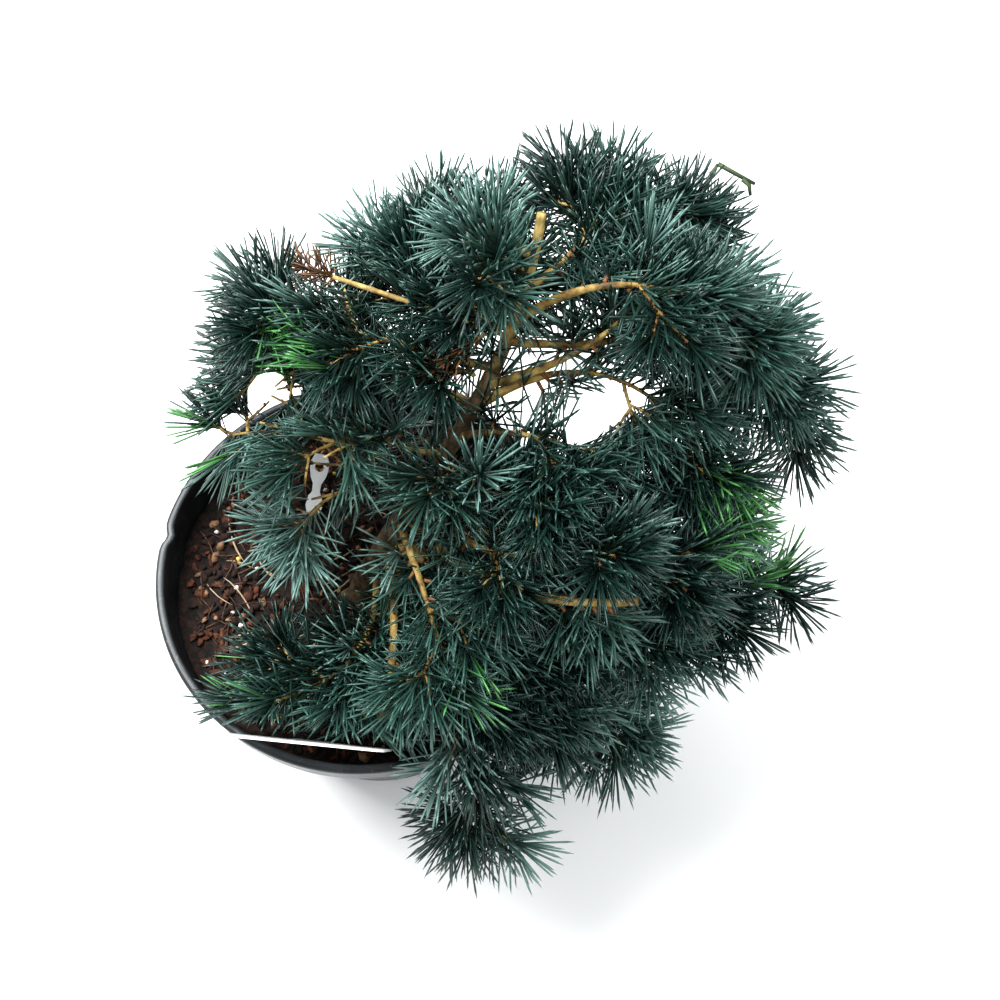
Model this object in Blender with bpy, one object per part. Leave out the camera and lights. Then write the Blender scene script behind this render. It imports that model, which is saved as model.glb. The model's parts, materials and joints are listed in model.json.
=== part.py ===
"""A young spreading blue deodar cedar in a black nursery pot, seen in the garden centre.

Units are metres, +Z is up, and the origin is the middle of the pot's flat underside. The plant leans
out of the pot towards +X and +Y. A limb is one curve: the bare bough takes its first part, and the
stem of its needle mass takes the rest. Needles are drawn out of the side faces of three-sided twigs.
"""

import math
import random

import bmesh
import bpy
import numpy as np
from mathutils import Vector

MM = 0.001
GAP = 0.3 * MM
SHARP_ANGLE = math.radians(40)

# The pot and what it holds
POT_HEIGHT = 166 * MM
POT_BASE_RADIUS = 75 * MM
POT_RIM_RADIUS = 112 * MM
POT_WALL = 1.6 * MM
POT_FLOOR = 2.5 * MM
RIM_BAND_HEIGHT = 19 * MM
RIM_STEP = 4.5 * MM
LIP_WIDTH = 5 * MM
LIP_THICKNESS = 2.4 * MM
POT_SIDES = 56
DRAIN_HOLES = 6
DRAIN_RADIUS = 6 * MM
DRAIN_CIRCLE = 56 * MM
COMPOST_TOP = 141 * MM
COMPOST_ROUGHNESS = 2.2 * MM
COMPOST_SIDES = 28
COMPOST_RINGS = 6

# The trunk: a curve with four handles, from the flat cut at the compost to the pruned tip
TRUNK_FOOT = Vector((-2 * MM, -5 * MM, COMPOST_TOP + GAP))
TRUNK_RISE = Vector((16, 6, 230)) * MM
TRUNK_LEAN = Vector((80, 50, 262)) * MM
TRUNK_TIP = Vector((92, 107, 344)) * MM
TRUNK_FOOT_RADIUS = 7.5 * MM
TRUNK_TIP_RADIUS = 2.2 * MM
FLARE_RADIUS = 6 * MM
FLARE_HEIGHT = 16 * MM
FLARE_LOBES = 5
TRUNK_SIDES = 10
TRUNK_RINGS = 18

# Each limb: share of the trunk it leaves at, heading in degrees from +X, then in millimetres its
# reach on plan, rise to the tip, sideways bow, upward arch and root thickness, and the share of it
# that is bare bough. A limb with no bare share is rooted in the trunk as a mass.
LIMBS = {
    "back_left": (0.82, 124, 82, -19, 29, 6, 4.4, 0.36),
    "back_mid": (0.86, 65, 81, -17, -18, 21, 4.4, 0.36),
    "back_right": (0.66, 47, 115, 31, -37, 24, 4.8, 0.40),
    "back_far_right": (0.76, 36, 126, -17, -38, 14, 4.6, 0.42),
    "right_arch": (0.80, -5, 158, -100, 6, 75, 5.0, 0.34),
    "right_high": (0.60, -16, 139, -48, 24, 46, 5.0, 0.36),
    "right_mid": (0.53, -14, 106, -26, 0, 32, 4.4, 0.34),
    "centre_right": (0.37, -19, 107, 33, -27, 6, 4.6, 0.42),
    "right_fresh": (0.41, -9, 155, -5, -37, 3, 4.6, 0.44),
    "right_low": (0.335, -3, 200, -75, -30, 8, 4.8, 0.44),
    "front_right": (0.215, -16, 173, -47, -20, 22, 4.6, 0.42),
    "front_low": (0.15, -29, 155, -64, -17, 42, 4.4, 0.42),
    "front": (0.245, -50, 132, -45, 3, 28, 4.6, 0.40),
    "front_long": (0.27, -72, 151, -82, -1, 59, 4.8, 0.36),
    "front_left": (0.09, -99, 80, 4, 17, 17, 4.0, 0.38),
    "left_front": (0.12, -134, 109, 5, 35, 18, 4.6, 0.42),
    "left_low": (0.35, -174, 59, -14, -2, 23, 4.0, 0.34),
    "left_mid": (0.41, 162, 124, -35, 5, 38, 4.6, 0.34),
    "left_up": (0.48, 150, 76, 13, 15, 12, 4.0, 0.34),
    "left_droop": (0.61, 162, 156, -78, 0, 41, 4.8, 0.32),
    "left_high": (0.70, 154, 149, -37, 16, 26, 4.8, 0.32),
    "inner_back": (0.74, 98, 76, 7, 2, 13, 3.2, 0.0),
    "inner_left": (0.65, 128, 78, 13, 2, 14, 3.2, 0.0),
    "inner_top": (0.90, -132, 36, 31, -7, -1, 2.8, 0.0),
    "inner_right": (0.47, -17, 71, 20, -19, 10, 3.2, 0.0),
    "dead_left": (0.77, 152, 119, -28, 9, 18, 2.6, 0.76),
}
DEAD_LIMBS = {"dead_left"}
# Pruned limbs end in a flat cut and carry no mass
PRUNED = {
    "pruned_right": (0.30, -29, 131, 43, -20, 6, 5.4, 1.0),
    "pruned_front": (0.185, -89, 98, 13, 6, 6, 4.6, 1.0),
}
TIP_THICKNESS = 2.6 * MM
PRUNED_THICKNESS = 3.8 * MM
BOUGH_SIDES = 6
BOUGH_RING_SPACING = 16 * MM

# Twigs and needles
TWIG_RADIUS = 1.5 * MM
TWIG_TIP_RADIUS = 1.0 * MM
TWIG_SPACING = 22 * MM
TWIG_LENGTH = 40 * MM
TWIG_SHORTEST = 16 * MM
TWIG_ANGLE = math.radians(52)
TWIG_ROLLS = (18, 162, 95)
TWIG_SHRINKS = (1, 0.75, 0.5)
TWIG_DROOP = 5 * MM
TWIG_CLEARANCE = 4.5 * MM
NEEDLE_LENGTH = 32 * MM
NEEDLE_SHORTEST = 9 * MM
NEEDLE_BASE = 4.2 * MM
NEEDLE_MARGIN = 1.3 * MM
WHORL_SPACING = 13.5 * MM
NEEDLE_LEAN = math.radians(50)
TIP_LEAN = math.radians(28)
UP = Vector((0, 0, 1))

# The blank label card: a wide head over the front rim on a narrow stake, leaning out as it rises
CARD_THICKNESS = 1.0 * MM
CARD_HEADING = math.radians(-5.8)
CARD_LEAN = math.radians(15.7)
CARD_STAKE_FOOT = Vector((-25, -88.5)) * MM
CARD_STAKE_WIDTH = 20 * MM
CARD_HEAD_LEFT = 69 * MM
CARD_HEAD_RIGHT = 44 * MM
CARD_HEAD_FOOT = 28 * MM
CARD_HEIGHT = 78 * MM
CARD_CORNER = 5 * MM
PLATE_ROWS = 8 * MM

# The blank loop tag: a narrow-waisted strip with a hole, leaning up from the compost
TAG_FOOT = Vector((-32, 42)) * MM
TAG_TOP = Vector((-26.5, 69.5, 161)) * MM
TAG_THICKNESS = 0.8 * MM
TAG_HALF_WIDTHS = (3.5, 4.8, 4.2, 2.2, 2.4, 4.4, 5.2, 5.2, 3.4)
TAG_HOLE_RADIUS = 2.6 * MM
TAG_HOLE_SHARE = 0.78

# The compost stays level this far around the trunk, the card and the tag
LEVEL_REACH = 24 * MM
LEVEL_SPOTS = (TRUNK_FOOT.xy, CARD_STAKE_FOOT, TAG_FOOT)

COLOURS = {
    "pot": ((0.012, 0.014, 0.016), 0.42),
    "compost": ((0.045, 0.018, 0.010), 0.95),
    "bark": ((0.16, 0.105, 0.055), 0.85),
    "young_bark": ((0.42, 0.33, 0.10), 0.70),
    "needles": ((0.020, 0.075, 0.070), 0.55),
    "fresh_needles": ((0.07, 0.24, 0.07), 0.50),
    "dead_needles": ((0.20, 0.11, 0.05), 0.90),
    "white_plastic": ((0.85, 0.86, 0.86), 0.45),
}


def material(name):
    colour, roughness = COLOURS[name]
    made = bpy.data.materials.new(name)
    made.use_nodes = True
    shader = made.node_tree.nodes["Principled BSDF"]
    shader.inputs["Base Color"].default_value = (*colour, 1)
    shader.inputs["Roughness"].default_value = roughness
    shader.inputs["Metallic"].default_value = 0
    return made


def add_object(name, mesh_builder, finish, collection=None):
    """An object from a filled bmesh, whose faces already point out."""
    mesh = bpy.data.meshes.new(name)
    mesh_builder.to_mesh(mesh)
    mesh_builder.free()
    mesh.materials.append(finish)
    made = bpy.data.objects.new(name, mesh)
    (collection or bpy.context.scene.collection).objects.link(made)
    return made


def shade_round(target):
    target.data.shade_smooth()
    target.data.set_sharp_from_angle(angle=SHARP_ANGLE)


def hide_helper(helper):
    helper.hide_render = True
    helper.display_type = "WIRE"


def cut(target, cutter):
    boolean = target.modifiers.new("cut_" + cutter.name, "BOOLEAN")
    boolean.operation = "DIFFERENCE"
    boolean.object = cutter
    boolean.solver = "EXACT"


def turned(profile, sides):
    """A closed bmesh turned about Z from (radius, height) points; a point on the axis is shared."""
    shape = bmesh.new()
    rings = []
    for radius, height in profile:
        if radius < 1e-6:
            rings.append([shape.verts.new((0, 0, height))] * sides)
            continue
        turns = [2 * math.pi * k / sides for k in range(sides)]
        rings.append([shape.verts.new((radius * math.cos(a), radius * math.sin(a), height)) for a in turns])
    for lower, upper in zip(rings, rings[1:] + rings[:1]):
        for k in range(sides):
            corners = list(dict.fromkeys([lower[k - 1], lower[k], upper[k], upper[k - 1]]))
            if len(corners) > 2:
                shape.faces.new(corners)
    return shape


def frames_along(points, ends=(None, None)):
    """Unit tangent, side and normal at each point, turned as little as possible from one to the next.

    The tangents at the two ends may be given, so that limbs meet with parallel faces.
    """
    frames = []
    side = None
    last = len(points) - 1
    for k in range(len(points)):
        ahead = points[min(k + 1, last)] - points[max(k - 1, 0)]
        if k == 0 and ends[0]:
            ahead = ends[0]
        if k == last and ends[1]:
            ahead = ends[1]
        tangent = ahead.normalized()
        if side is None:
            side = tangent.cross(UP)
            if side.length < 0.2:
                side = tangent.cross(Vector((0, 1, 0)))
        side = (side - tangent * side.dot(tangent)).normalized()
        frames.append((tangent, side, tangent.cross(side)))
    return frames


def tube(points, radii, sides, ends=(None, None)):
    """A closed tube with flat ends; radii may be numbers or functions of the angle."""
    shape = bmesh.new()
    rings = []
    for point, (_, side, normal), radius in zip(points, frames_along(points, ends), radii):
        ring = []
        for k in range(sides):
            angle = 2 * math.pi * k / sides
            reach = radius(angle) if callable(radius) else radius
            ring.append(shape.verts.new(point + side * math.cos(angle) * reach + normal * math.sin(angle) * reach))
        rings.append(ring)
    for lower, upper in zip(rings, rings[1:]):
        for k in range(sides):
            shape.faces.new([lower[k - 1], lower[k], upper[k], upper[k - 1]])
    shape.faces.new(rings[0][::-1])
    shape.faces.new(rings[-1])
    return shape


# Limb curves


def trunk_point(share):
    rest = 1 - share
    return (
        TRUNK_FOOT * rest**3
        + TRUNK_RISE * 3 * share * rest**2
        + TRUNK_LEAN * 3 * share**2 * rest
        + TRUNK_TIP * share**3
    )


def trunk_radius(share):
    return TRUNK_FOOT_RADIUS + (TRUNK_TIP_RADIUS - TRUNK_FOOT_RADIUS) * share**0.8


def trunk_flare(point):
    """How far the roots' swelling stands out of the trunk's taper at a point of its centre line."""
    return FLARE_RADIUS * max(0.0, 1 - (point.z - TRUNK_FOOT.z) / FLARE_HEIGHT) ** 2


def trunk_rings():
    """Shares of the trunk's rings, closer together towards the foot."""
    return [(k / (TRUNK_RINGS - 1)) ** 1.25 for k in range(TRUNK_RINGS)]


def limb_point(sizes, share):
    """A point of a limb's centre line, with its root on the trunk's centre line."""
    leaves, heading, reach, rise, bow, arch = sizes[:6]
    ahead = Vector((math.cos(math.radians(heading)), math.sin(math.radians(heading)), 0))
    left = Vector((-ahead.y, ahead.x, 0))
    hump = 4 * share * (1 - share)
    along = ahead * reach * share + left * bow * hump + UP * (rise * share + arch * hump)
    return trunk_point(leaves) + along * MM


def limb_speed(sizes, share):
    """The limb's direction at a share, as long as the way it covers per unit of share."""
    step = 1e-3
    return (limb_point(sizes, share + step) - limb_point(sizes, share - step)) / (2 * step)


def limb_points(sizes, start, end, spacing):
    length = limb_length(sizes, start, end)
    count = max(3, math.ceil(length / spacing) + 1)
    return [limb_point(sizes, start + (end - start) * k / (count - 1)) for k in range(count)]


def limb_length(sizes, start, end, steps=24):
    points = [limb_point(sizes, start + (end - start) * k / steps) for k in range(steps + 1)]
    return sum((b - a).length for a, b in zip(points, points[1:]))


# Room for twigs and needles


def near_limits(points, starts, ends):
    """The distance from each point to each straight piece, as an array of points by pieces."""
    along = ends - starts
    squared = np.maximum((along**2).sum(1), 1e-12)
    offset = points[:, None] - starts[None]
    share = np.clip((offset * along[None]).sum(2) / squared, 0, 1)
    return np.linalg.norm(offset - share[..., None] * along[None], axis=2)


class Room:
    """What is already placed: the limbs, which nothing may touch, and the twigs, which own the space around."""

    def __init__(self):
        self.limb_starts, self.limb_ends, self.limb_radii = [], [], []
        self.twig_starts, self.twig_ends, self.twig_owner = [], [], []

    def add_limb(self, points, radii):
        for k in range(len(points) - 1):
            self.limb_starts.append(points[k])
            self.limb_ends.append(points[k + 1])
            self.limb_radii.append(max(radii[k], radii[k + 1]))

    def add_twig(self, points, owner):
        for first, second in zip(points, points[1:]):
            self.twig_starts.append(first)
            self.twig_ends.append(second)
            self.twig_owner.append(owner)

    def freeze(self):
        self.limbs = (np.array(self.limb_starts), np.array(self.limb_ends))
        self.radii = np.array(self.limb_radii)
        self.twigs = (np.array(self.twig_starts), np.array(self.twig_ends))
        self.owner = np.array(self.twig_owner)

    def off_limbs(self, points, clearance):
        """True for each point that keeps clear of every limb."""
        return (near_limits(points, *self.limbs) - self.radii > clearance).all(1)

    def off_twigs(self, points, clearance, but=()):
        if not len(self.owner):
            return np.ones(len(points), bool)
        others = ~np.isin(self.owner, list(but))
        if not others.any():
            return np.ones(len(points), bool)
        starts, ends = self.twigs
        return (near_limits(points, starts[others], ends[others]) > clearance).all(1)

    def nearest_own(self, points, owner, margin):
        """True for each point that lies nearer to its own twig than to any other."""
        distances = near_limits(points, *self.twigs)
        own = distances[:, self.owner == owner].min(1)
        other = distances[:, self.owner != owner].min(1)
        return other - own > margin


def off_pot(points, clearance):
    """True for each point outside the pot's wall and above the compost."""
    radius = np.hypot(points[:, 0], points[:, 1])
    above_rim = points[:, 2] > POT_HEIGHT + clearance
    inside = radius < POT_RIM_RADIUS - RIM_STEP - LIP_WIDTH - clearance
    over_compost = points[:, 2] > COMPOST_TOP + COMPOST_ROUGHNESS + clearance
    outside = radius > POT_RIM_RADIUS + clearance
    return above_rim | (inside & over_compost) | outside


# The pot, compost, card and tag


def pot_wall_radius(height):
    """The wall's outer radius below the rim band."""
    top = POT_RIM_RADIUS - RIM_STEP
    return POT_BASE_RADIUS + (top - POT_BASE_RADIUS) * height / (POT_HEIGHT - RIM_BAND_HEIGHT)


def pot_inner_radius(height):
    """The wall's inner radius between the floor and the rim band."""
    foot = POT_BASE_RADIUS - POT_WALL
    head = POT_RIM_RADIUS - RIM_STEP - POT_WALL
    return foot + (head - foot) * (height - POT_FLOOR) / (POT_HEIGHT - RIM_BAND_HEIGHT - POT_FLOOR)


def make_pot(finish):
    band_foot = POT_HEIGHT - RIM_BAND_HEIGHT
    shoulder = pot_wall_radius(band_foot)
    inner = POT_RIM_RADIUS - LIP_WIDTH
    profile = [
        (0, 0),
        (POT_BASE_RADIUS - 2 * MM, 0),
        (POT_BASE_RADIUS, 2 * MM),
        (shoulder, band_foot),
        (POT_RIM_RADIUS - 1.5 * MM, band_foot + 2 * MM),
        (POT_RIM_RADIUS - 0.6 * MM, POT_HEIGHT - 5 * MM),
        (POT_RIM_RADIUS, POT_HEIGHT - 1.6 * MM),
        (POT_RIM_RADIUS - 1.2 * MM, POT_HEIGHT),
        (inner + 0.8 * MM, POT_HEIGHT),
        (inner, POT_HEIGHT - LIP_THICKNESS),
        (shoulder - POT_WALL, band_foot),
        (POT_BASE_RADIUS - POT_WALL, POT_FLOOR),
        (0, POT_FLOOR),
    ]
    shape = turned(profile, POT_SIDES)
    pot = add_object("pot", shape, finish)
    shade_round(pot)
    for k in range(DRAIN_HOLES):
        angle = 2 * math.pi * (k + 0.3) / DRAIN_HOLES
        hole = bmesh.new()
        bmesh.ops.create_cone(
            hole, cap_ends=True, segments=10, radius1=DRAIN_RADIUS, radius2=DRAIN_RADIUS, depth=4 * POT_FLOOR
        )
        cutter = add_object(f"drain_cutter_{k}", hole, finish)
        cutter.location = (DRAIN_CIRCLE * math.cos(angle), DRAIN_CIRCLE * math.sin(angle), POT_FLOOR / 2)
        hide_helper(cutter)
        cut(pot, cutter)
    return pot


def make_compost(finish):
    """A plug inside the pot with a rough top, level along the wall and where something stands in it."""
    shoulder = COMPOST_TOP - 1.5 * MM
    inner_top = pot_inner_radius(shoulder) - GAP
    inner_base = pot_inner_radius(POT_FLOOR) - GAP
    profile = [(0, POT_FLOOR + GAP), (inner_base, POT_FLOOR + GAP), (inner_top, shoulder)]
    for k in range(COMPOST_RINGS, -1, -1):
        profile.append((inner_top * 0.985 * k / COMPOST_RINGS, COMPOST_TOP))
    shape = turned(profile, COMPOST_SIDES)
    rng = random.Random(11)
    for vertex in shape.verts:
        radius = math.hypot(vertex.co.x, vertex.co.y)
        level = any((vertex.co.xy - spot).length < LEVEL_REACH for spot in LEVEL_SPOTS)
        if vertex.co.z > COMPOST_TOP - 1e-6 and radius < inner_top * 0.9 and not level:
            vertex.co.z += rng.uniform(-1, 1) * COMPOST_ROUGHNESS
    return add_object("compost", shape, finish)


def plate(outline, foot, across, along, thickness):
    """A flat plate from a closed outline of (across, along) points, half its thickness to each side."""
    shape = bmesh.new()
    depth = across.cross(along).normalized() * thickness / 2
    flat = [foot + across * u + along * v for u, v in outline]
    front = [shape.verts.new(point + depth) for point in flat]
    back = [shape.verts.new(point - depth) for point in flat]
    shape.faces.new(front)
    shape.faces.new(back[::-1])
    for k in range(len(flat)):
        shape.faces.new([front[k - 1], back[k - 1], back[k], front[k]])
    return shape


def card_axes():
    """The card's foot on the compost, the direction across it and the direction up it."""
    across = Vector((math.cos(CARD_HEADING), math.sin(CARD_HEADING), 0))
    outward = Vector((across.y, -across.x, 0))
    along = UP * math.cos(CARD_LEAN) + outward * math.sin(CARD_LEAN)
    drop = CARD_THICKNESS / 2 * math.sin(CARD_LEAN)
    foot = Vector((*CARD_STAKE_FOOT, COMPOST_TOP + GAP + drop))
    return foot, across, along


def card_corner(centre_across, centre_along, start):
    """The points of one rounded corner of the card's head, anticlockwise from a start angle in degrees."""
    angles = [math.radians(start + 30 * k) for k in range(4)]
    return [(centre_across + CARD_CORNER * math.cos(a), centre_along + CARD_CORNER * math.sin(a)) for a in angles]


def make_card(finish):
    half = CARD_STAKE_WIDTH / 2
    outline = [(-half, 0), (half, 0), (half, CARD_HEAD_FOOT)]
    outline += card_corner(CARD_HEAD_RIGHT - CARD_CORNER, CARD_HEAD_FOOT + CARD_CORNER, -90)
    outline += card_corner(CARD_HEAD_RIGHT - CARD_CORNER, CARD_HEIGHT - CARD_CORNER, 0)
    outline += card_corner(CARD_CORNER - CARD_HEAD_LEFT, CARD_HEIGHT - CARD_CORNER, 90)
    outline += card_corner(CARD_CORNER - CARD_HEAD_LEFT, CARD_HEAD_FOOT + CARD_CORNER, 180)
    outline.append((-half, CARD_HEAD_FOOT))
    return add_object("label_card", plate(outline, *card_axes(), CARD_THICKNESS), finish)


def tag_axes():
    """The tag's foot on the compost, the direction across it and the direction up it, with its length."""
    foot = Vector((*TAG_FOOT, COMPOST_TOP + GAP + TAG_THICKNESS))
    along = TAG_TOP - foot
    across = along.cross(UP).normalized()
    return foot, across, along.normalized(), along.length


def make_tag(finish):
    foot, across, along, length = tag_axes()
    count = len(TAG_HALF_WIDTHS) - 1
    right = [(half * MM, length * k / count) for k, half in enumerate(TAG_HALF_WIDTHS)]
    outline = right + [(-u, v) for u, v in reversed(right)]
    tag = add_object("loop_tag", plate(outline, foot, across, along, TAG_THICKNESS), finish)
    hole = bmesh.new()
    bmesh.ops.create_cone(
        hole, cap_ends=True, segments=12, radius1=TAG_HOLE_RADIUS, radius2=TAG_HOLE_RADIUS, depth=6 * TAG_THICKNESS
    )
    cutter = add_object("tag_hole_cutter", hole, finish)
    cutter.location = foot + along * length * TAG_HOLE_SHARE
    cutter.rotation_euler = across.cross(along).to_track_quat("Z", "Y").to_euler()
    hide_helper(cutter)
    cut(tag, cutter)
    return tag


def keep_off_plates(room):
    """Marks the card and the tag as taken, as rows of limbs as thick as their spacing."""
    foot, across, along = card_axes()
    for height in np.arange(CARD_HEAD_FOOT, CARD_HEIGHT + 1e-6, PLATE_ROWS):
        row = [foot + across * u + along * height for u in (-CARD_HEAD_LEFT, 0, CARD_HEAD_RIGHT)]
        room.add_limb(row, [PLATE_ROWS / 2] * 3)
    room.add_limb([foot, foot + along * CARD_HEAD_FOOT], [CARD_STAKE_WIDTH / 2] * 2)
    foot, _, along, length = tag_axes()
    room.add_limb([foot, foot + along * length], [max(TAG_HALF_WIDTHS) * MM] * 2)


def make_trunk(finish):
    """Flared and fluted at the foot, tapering to the pruned tip."""
    points, radii = [], []
    for share in trunk_rings():
        point = trunk_point(share)
        points.append(point)
        base, flare = trunk_radius(share), trunk_flare(point)
        radii.append(lambda angle, base=base, flare=flare: base + flare * (0.6 + 0.4 * math.cos(FLARE_LOBES * angle)))
    trunk = add_object("trunk", tube(points, radii, TRUNK_SIDES, (UP, None)), finish)
    shade_round(trunk)
    return trunk


def trunk_clearance(finish):
    """The space the trunk takes, with the gap around it, which cuts every limb's root to a saddle."""
    points = [trunk_point(share) for share in trunk_rings()]
    radii = [trunk_radius(share) + trunk_flare(point) + GAP for share, point in zip(trunk_rings(), points)]
    helper = add_object("trunk_clearance", tube(points, radii, TRUNK_SIDES, (UP, None)), finish)
    hide_helper(helper)
    return helper


def bough_radius(sizes, share, tip):
    root = sizes[6] * MM / 2
    return root + (tip / 2 - root) * share


def make_bough(name, sizes, end, tip, finish, clearance):
    points = limb_points(sizes, 0, end, BOUGH_RING_SPACING)
    radii = [bough_radius(sizes, k / (len(points) - 1), tip) for k in range(len(points))]
    ends = (None, limb_speed(sizes, end))
    bough = add_object(name, tube(points, radii, BOUGH_SIDES, ends), finish)
    shade_round(bough)
    cut(bough, clearance)
    return points, radii


# Needle masses


def twig_points(root, direction, length, droop):
    """A straight start that bends down by the droop towards its tip."""
    count = max(3, math.ceil(length / (14 * MM)) + 1)
    shares = [k / (count - 1) for k in range(count)]
    return [root + direction * length * s - UP * droop * s * s for s in shares]


def side_twigs(name, stem, room, rng):
    """Twigs left and right of a stem and now and then above it, shorter towards the tip."""
    lengths = [(b - a).length for a, b in zip(stem, stem[1:])]
    total = sum(lengths)
    frames = frames_along(stem)
    made = []
    position = 0.3 * TWIG_SPACING
    turn = rng.choice([0, 1])
    while position < total - 0.4 * TWIG_SPACING:
        k, rest = 0, position
        while rest > lengths[k]:
            rest -= lengths[k]
            k += 1
        root = stem[k].lerp(stem[k + 1], rest / lengths[k])
        tangent, side, normal = frames[k]
        roll = math.radians(TWIG_ROLLS[turn % len(TWIG_ROLLS)] + rng.uniform(-18, 18))
        outward = side * math.cos(roll) + normal * math.sin(roll)
        direction = (tangent * math.cos(TWIG_ANGLE) + outward * math.sin(TWIG_ANGLE)).normalized()
        taper = 1 - 0.5 * position / total
        for shrink in TWIG_SHRINKS:
            length = TWIG_LENGTH * taper * shrink * rng.uniform(0.9, 1.1)
            if length < TWIG_SHORTEST:
                continue
            points = twig_points(root, direction, length, TWIG_DROOP * length / TWIG_LENGTH)
            outer = np.array([points[0].lerp(points[-1], k / 8) for k in range(3, 9)])
            tests = (
                room.off_limbs(outer, TWIG_CLEARANCE),
                room.off_twigs(outer, TWIG_CLEARANCE, but=(name,)),
                off_pot(outer, TWIG_CLEARANCE),
            )
            if all(test.all() for test in tests):
                owner = f"{name}:{len(made)}"
                made.append((owner, points))
                room.add_twig(points, owner)
                room.freeze()
                break
        turn += 1
        position += TWIG_SPACING * rng.uniform(0.9, 1.1)
    return made


def needle_room(root, direction, length, owner, room):
    """How far a needle may reach before it would leave its twig's space or come close to a limb or the pot."""
    shares = np.linspace(0.2, 1, 13)
    points = np.array(root)[None] + np.array(direction)[None] * (shares * length)[:, None]
    free = room.off_limbs(points, NEEDLE_MARGIN)
    free &= room.nearest_own(points, owner, NEEDLE_MARGIN)
    free &= off_pot(points, NEEDLE_MARGIN)
    if free.all():
        return length
    return length * (shares[np.argmin(free)] - 0.1)


def brush(name, points, start_tangent, owner, room, rng, finish, collection):
    """A closed three-sided twig, with its whorls of needles drawn out of bands around it."""
    lengths = [(b - a).length for a, b in zip(points, points[1:])]
    total = sum(lengths)
    whorls = max(1, round(total / WHORL_SPACING))
    half = NEEDLE_BASE / 2
    first = min(0.55 * WHORL_SPACING, total / 3)
    middles = [first + (total - 2 * half - first) * k / max(1, whorls - 1) for k in range(whorls)]
    stations = [0.0]
    for middle in middles:
        stations += [middle - half, middle + half]
    frames = frames_along(points, (start_tangent, None))

    def at(distance):
        k = 0
        while k < len(lengths) - 1 and distance > lengths[k]:
            distance -= lengths[k]
            k += 1
        return points[k].lerp(points[k + 1], min(1, distance / lengths[k])), frames[k]

    shape = bmesh.new()
    rings = []
    for number, station in enumerate(stations):
        centre, (_, side, normal) = at(station)
        radius = TWIG_RADIUS + (TWIG_TIP_RADIUS - TWIG_RADIUS) * station / total
        turn = math.radians(60) * ((number + 1) // 2)
        ring = []
        for k in range(3):
            angle = turn + 2 * math.pi * k / 3
            ring.append(shape.verts.new(centre + (side * math.cos(angle) + normal * math.sin(angle)) * radius))
        rings.append((ring, turn, (side, normal)))
    tip = shape.verts.new(points[-1] + (points[-1] - points[-2]).normalized() * 2 * MM)
    shape.faces.new(rings[0][0][::-1])
    for k in range(3):
        shape.faces.new([rings[-1][0][k - 1], rings[-1][0][k], tip])
    for number in range(len(rings) - 1):
        lower, turn, (side, normal) = rings[number]
        upper = rings[number + 1][0]
        tangent = side.cross(normal)
        is_band = number % 2 == 1
        last = number >= len(rings) - 3
        for k in range(3):
            corners = (lower[k - 1], lower[k], upper[k], upper[k - 1])
            halves = ((corners[0], corners[1], corners[3]), (corners[1], corners[2], corners[3]))
            for which, triangle in enumerate(halves):
                grown = None
                if is_band:
                    middle_angle = turn + 2 * math.pi * (k - 0.5) / 3
                    angle = middle_angle + (-0.5 if which == 0 else 0.5) + rng.uniform(-0.1, 0.1)
                    lean = (TIP_LEAN if last else NEEDLE_LEAN) + rng.uniform(-0.12, 0.12)
                    outward = side * math.cos(angle) + normal * math.sin(angle)
                    direction = (tangent * math.cos(lean) + outward * math.sin(lean)).normalized()
                    length = NEEDLE_LENGTH * rng.uniform(0.86, 1.04)
                    root = sum((v.co for v in triangle), Vector()) / 3
                    length = needle_room(root, direction, length, owner, room)
                    if length > NEEDLE_SHORTEST:
                        grown = shape.verts.new(root + direction * length)
                if grown is None:
                    shape.faces.new(triangle)
                    continue
                for j in range(3):
                    shape.faces.new([triangle[j - 1], triangle[j], grown])
    return add_object(name, shape, finish, collection)


def make_mass(name, stem, start_tangent, twigs, room, finish, clearance, rooted_in_trunk):
    """All the twigs of a mass as one solid."""
    parts = bpy.data.collections.new(name + "_parts")
    bpy.context.scene.collection.children.link(parts)
    rng = random.Random(name)
    mass = brush(name, stem, start_tangent, name, room, rng, finish, None)
    for owner, points in twigs:
        brush(owner.replace(":", "_twig_"), points, None, owner, room, rng, finish, parts)
    if twigs:
        union = mass.modifiers.new("join", "BOOLEAN")
        union.operation = "UNION"
        union.operand_type = "COLLECTION"
        union.collection = parts
        union.solver = "MANIFOLD"
    if rooted_in_trunk:
        cut(mass, clearance)
    apply_modifiers(mass)
    for helper in list(parts.objects):
        bpy.data.objects.remove(helper)
    bpy.data.collections.remove(parts)
    return mass


def apply_modifiers(target):
    bpy.context.view_layer.update()
    graph = bpy.context.evaluated_depsgraph_get()
    mesh = bpy.data.meshes.new_from_object(target.evaluated_get(graph))
    target.modifiers.clear()
    target.data = mesh


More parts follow.
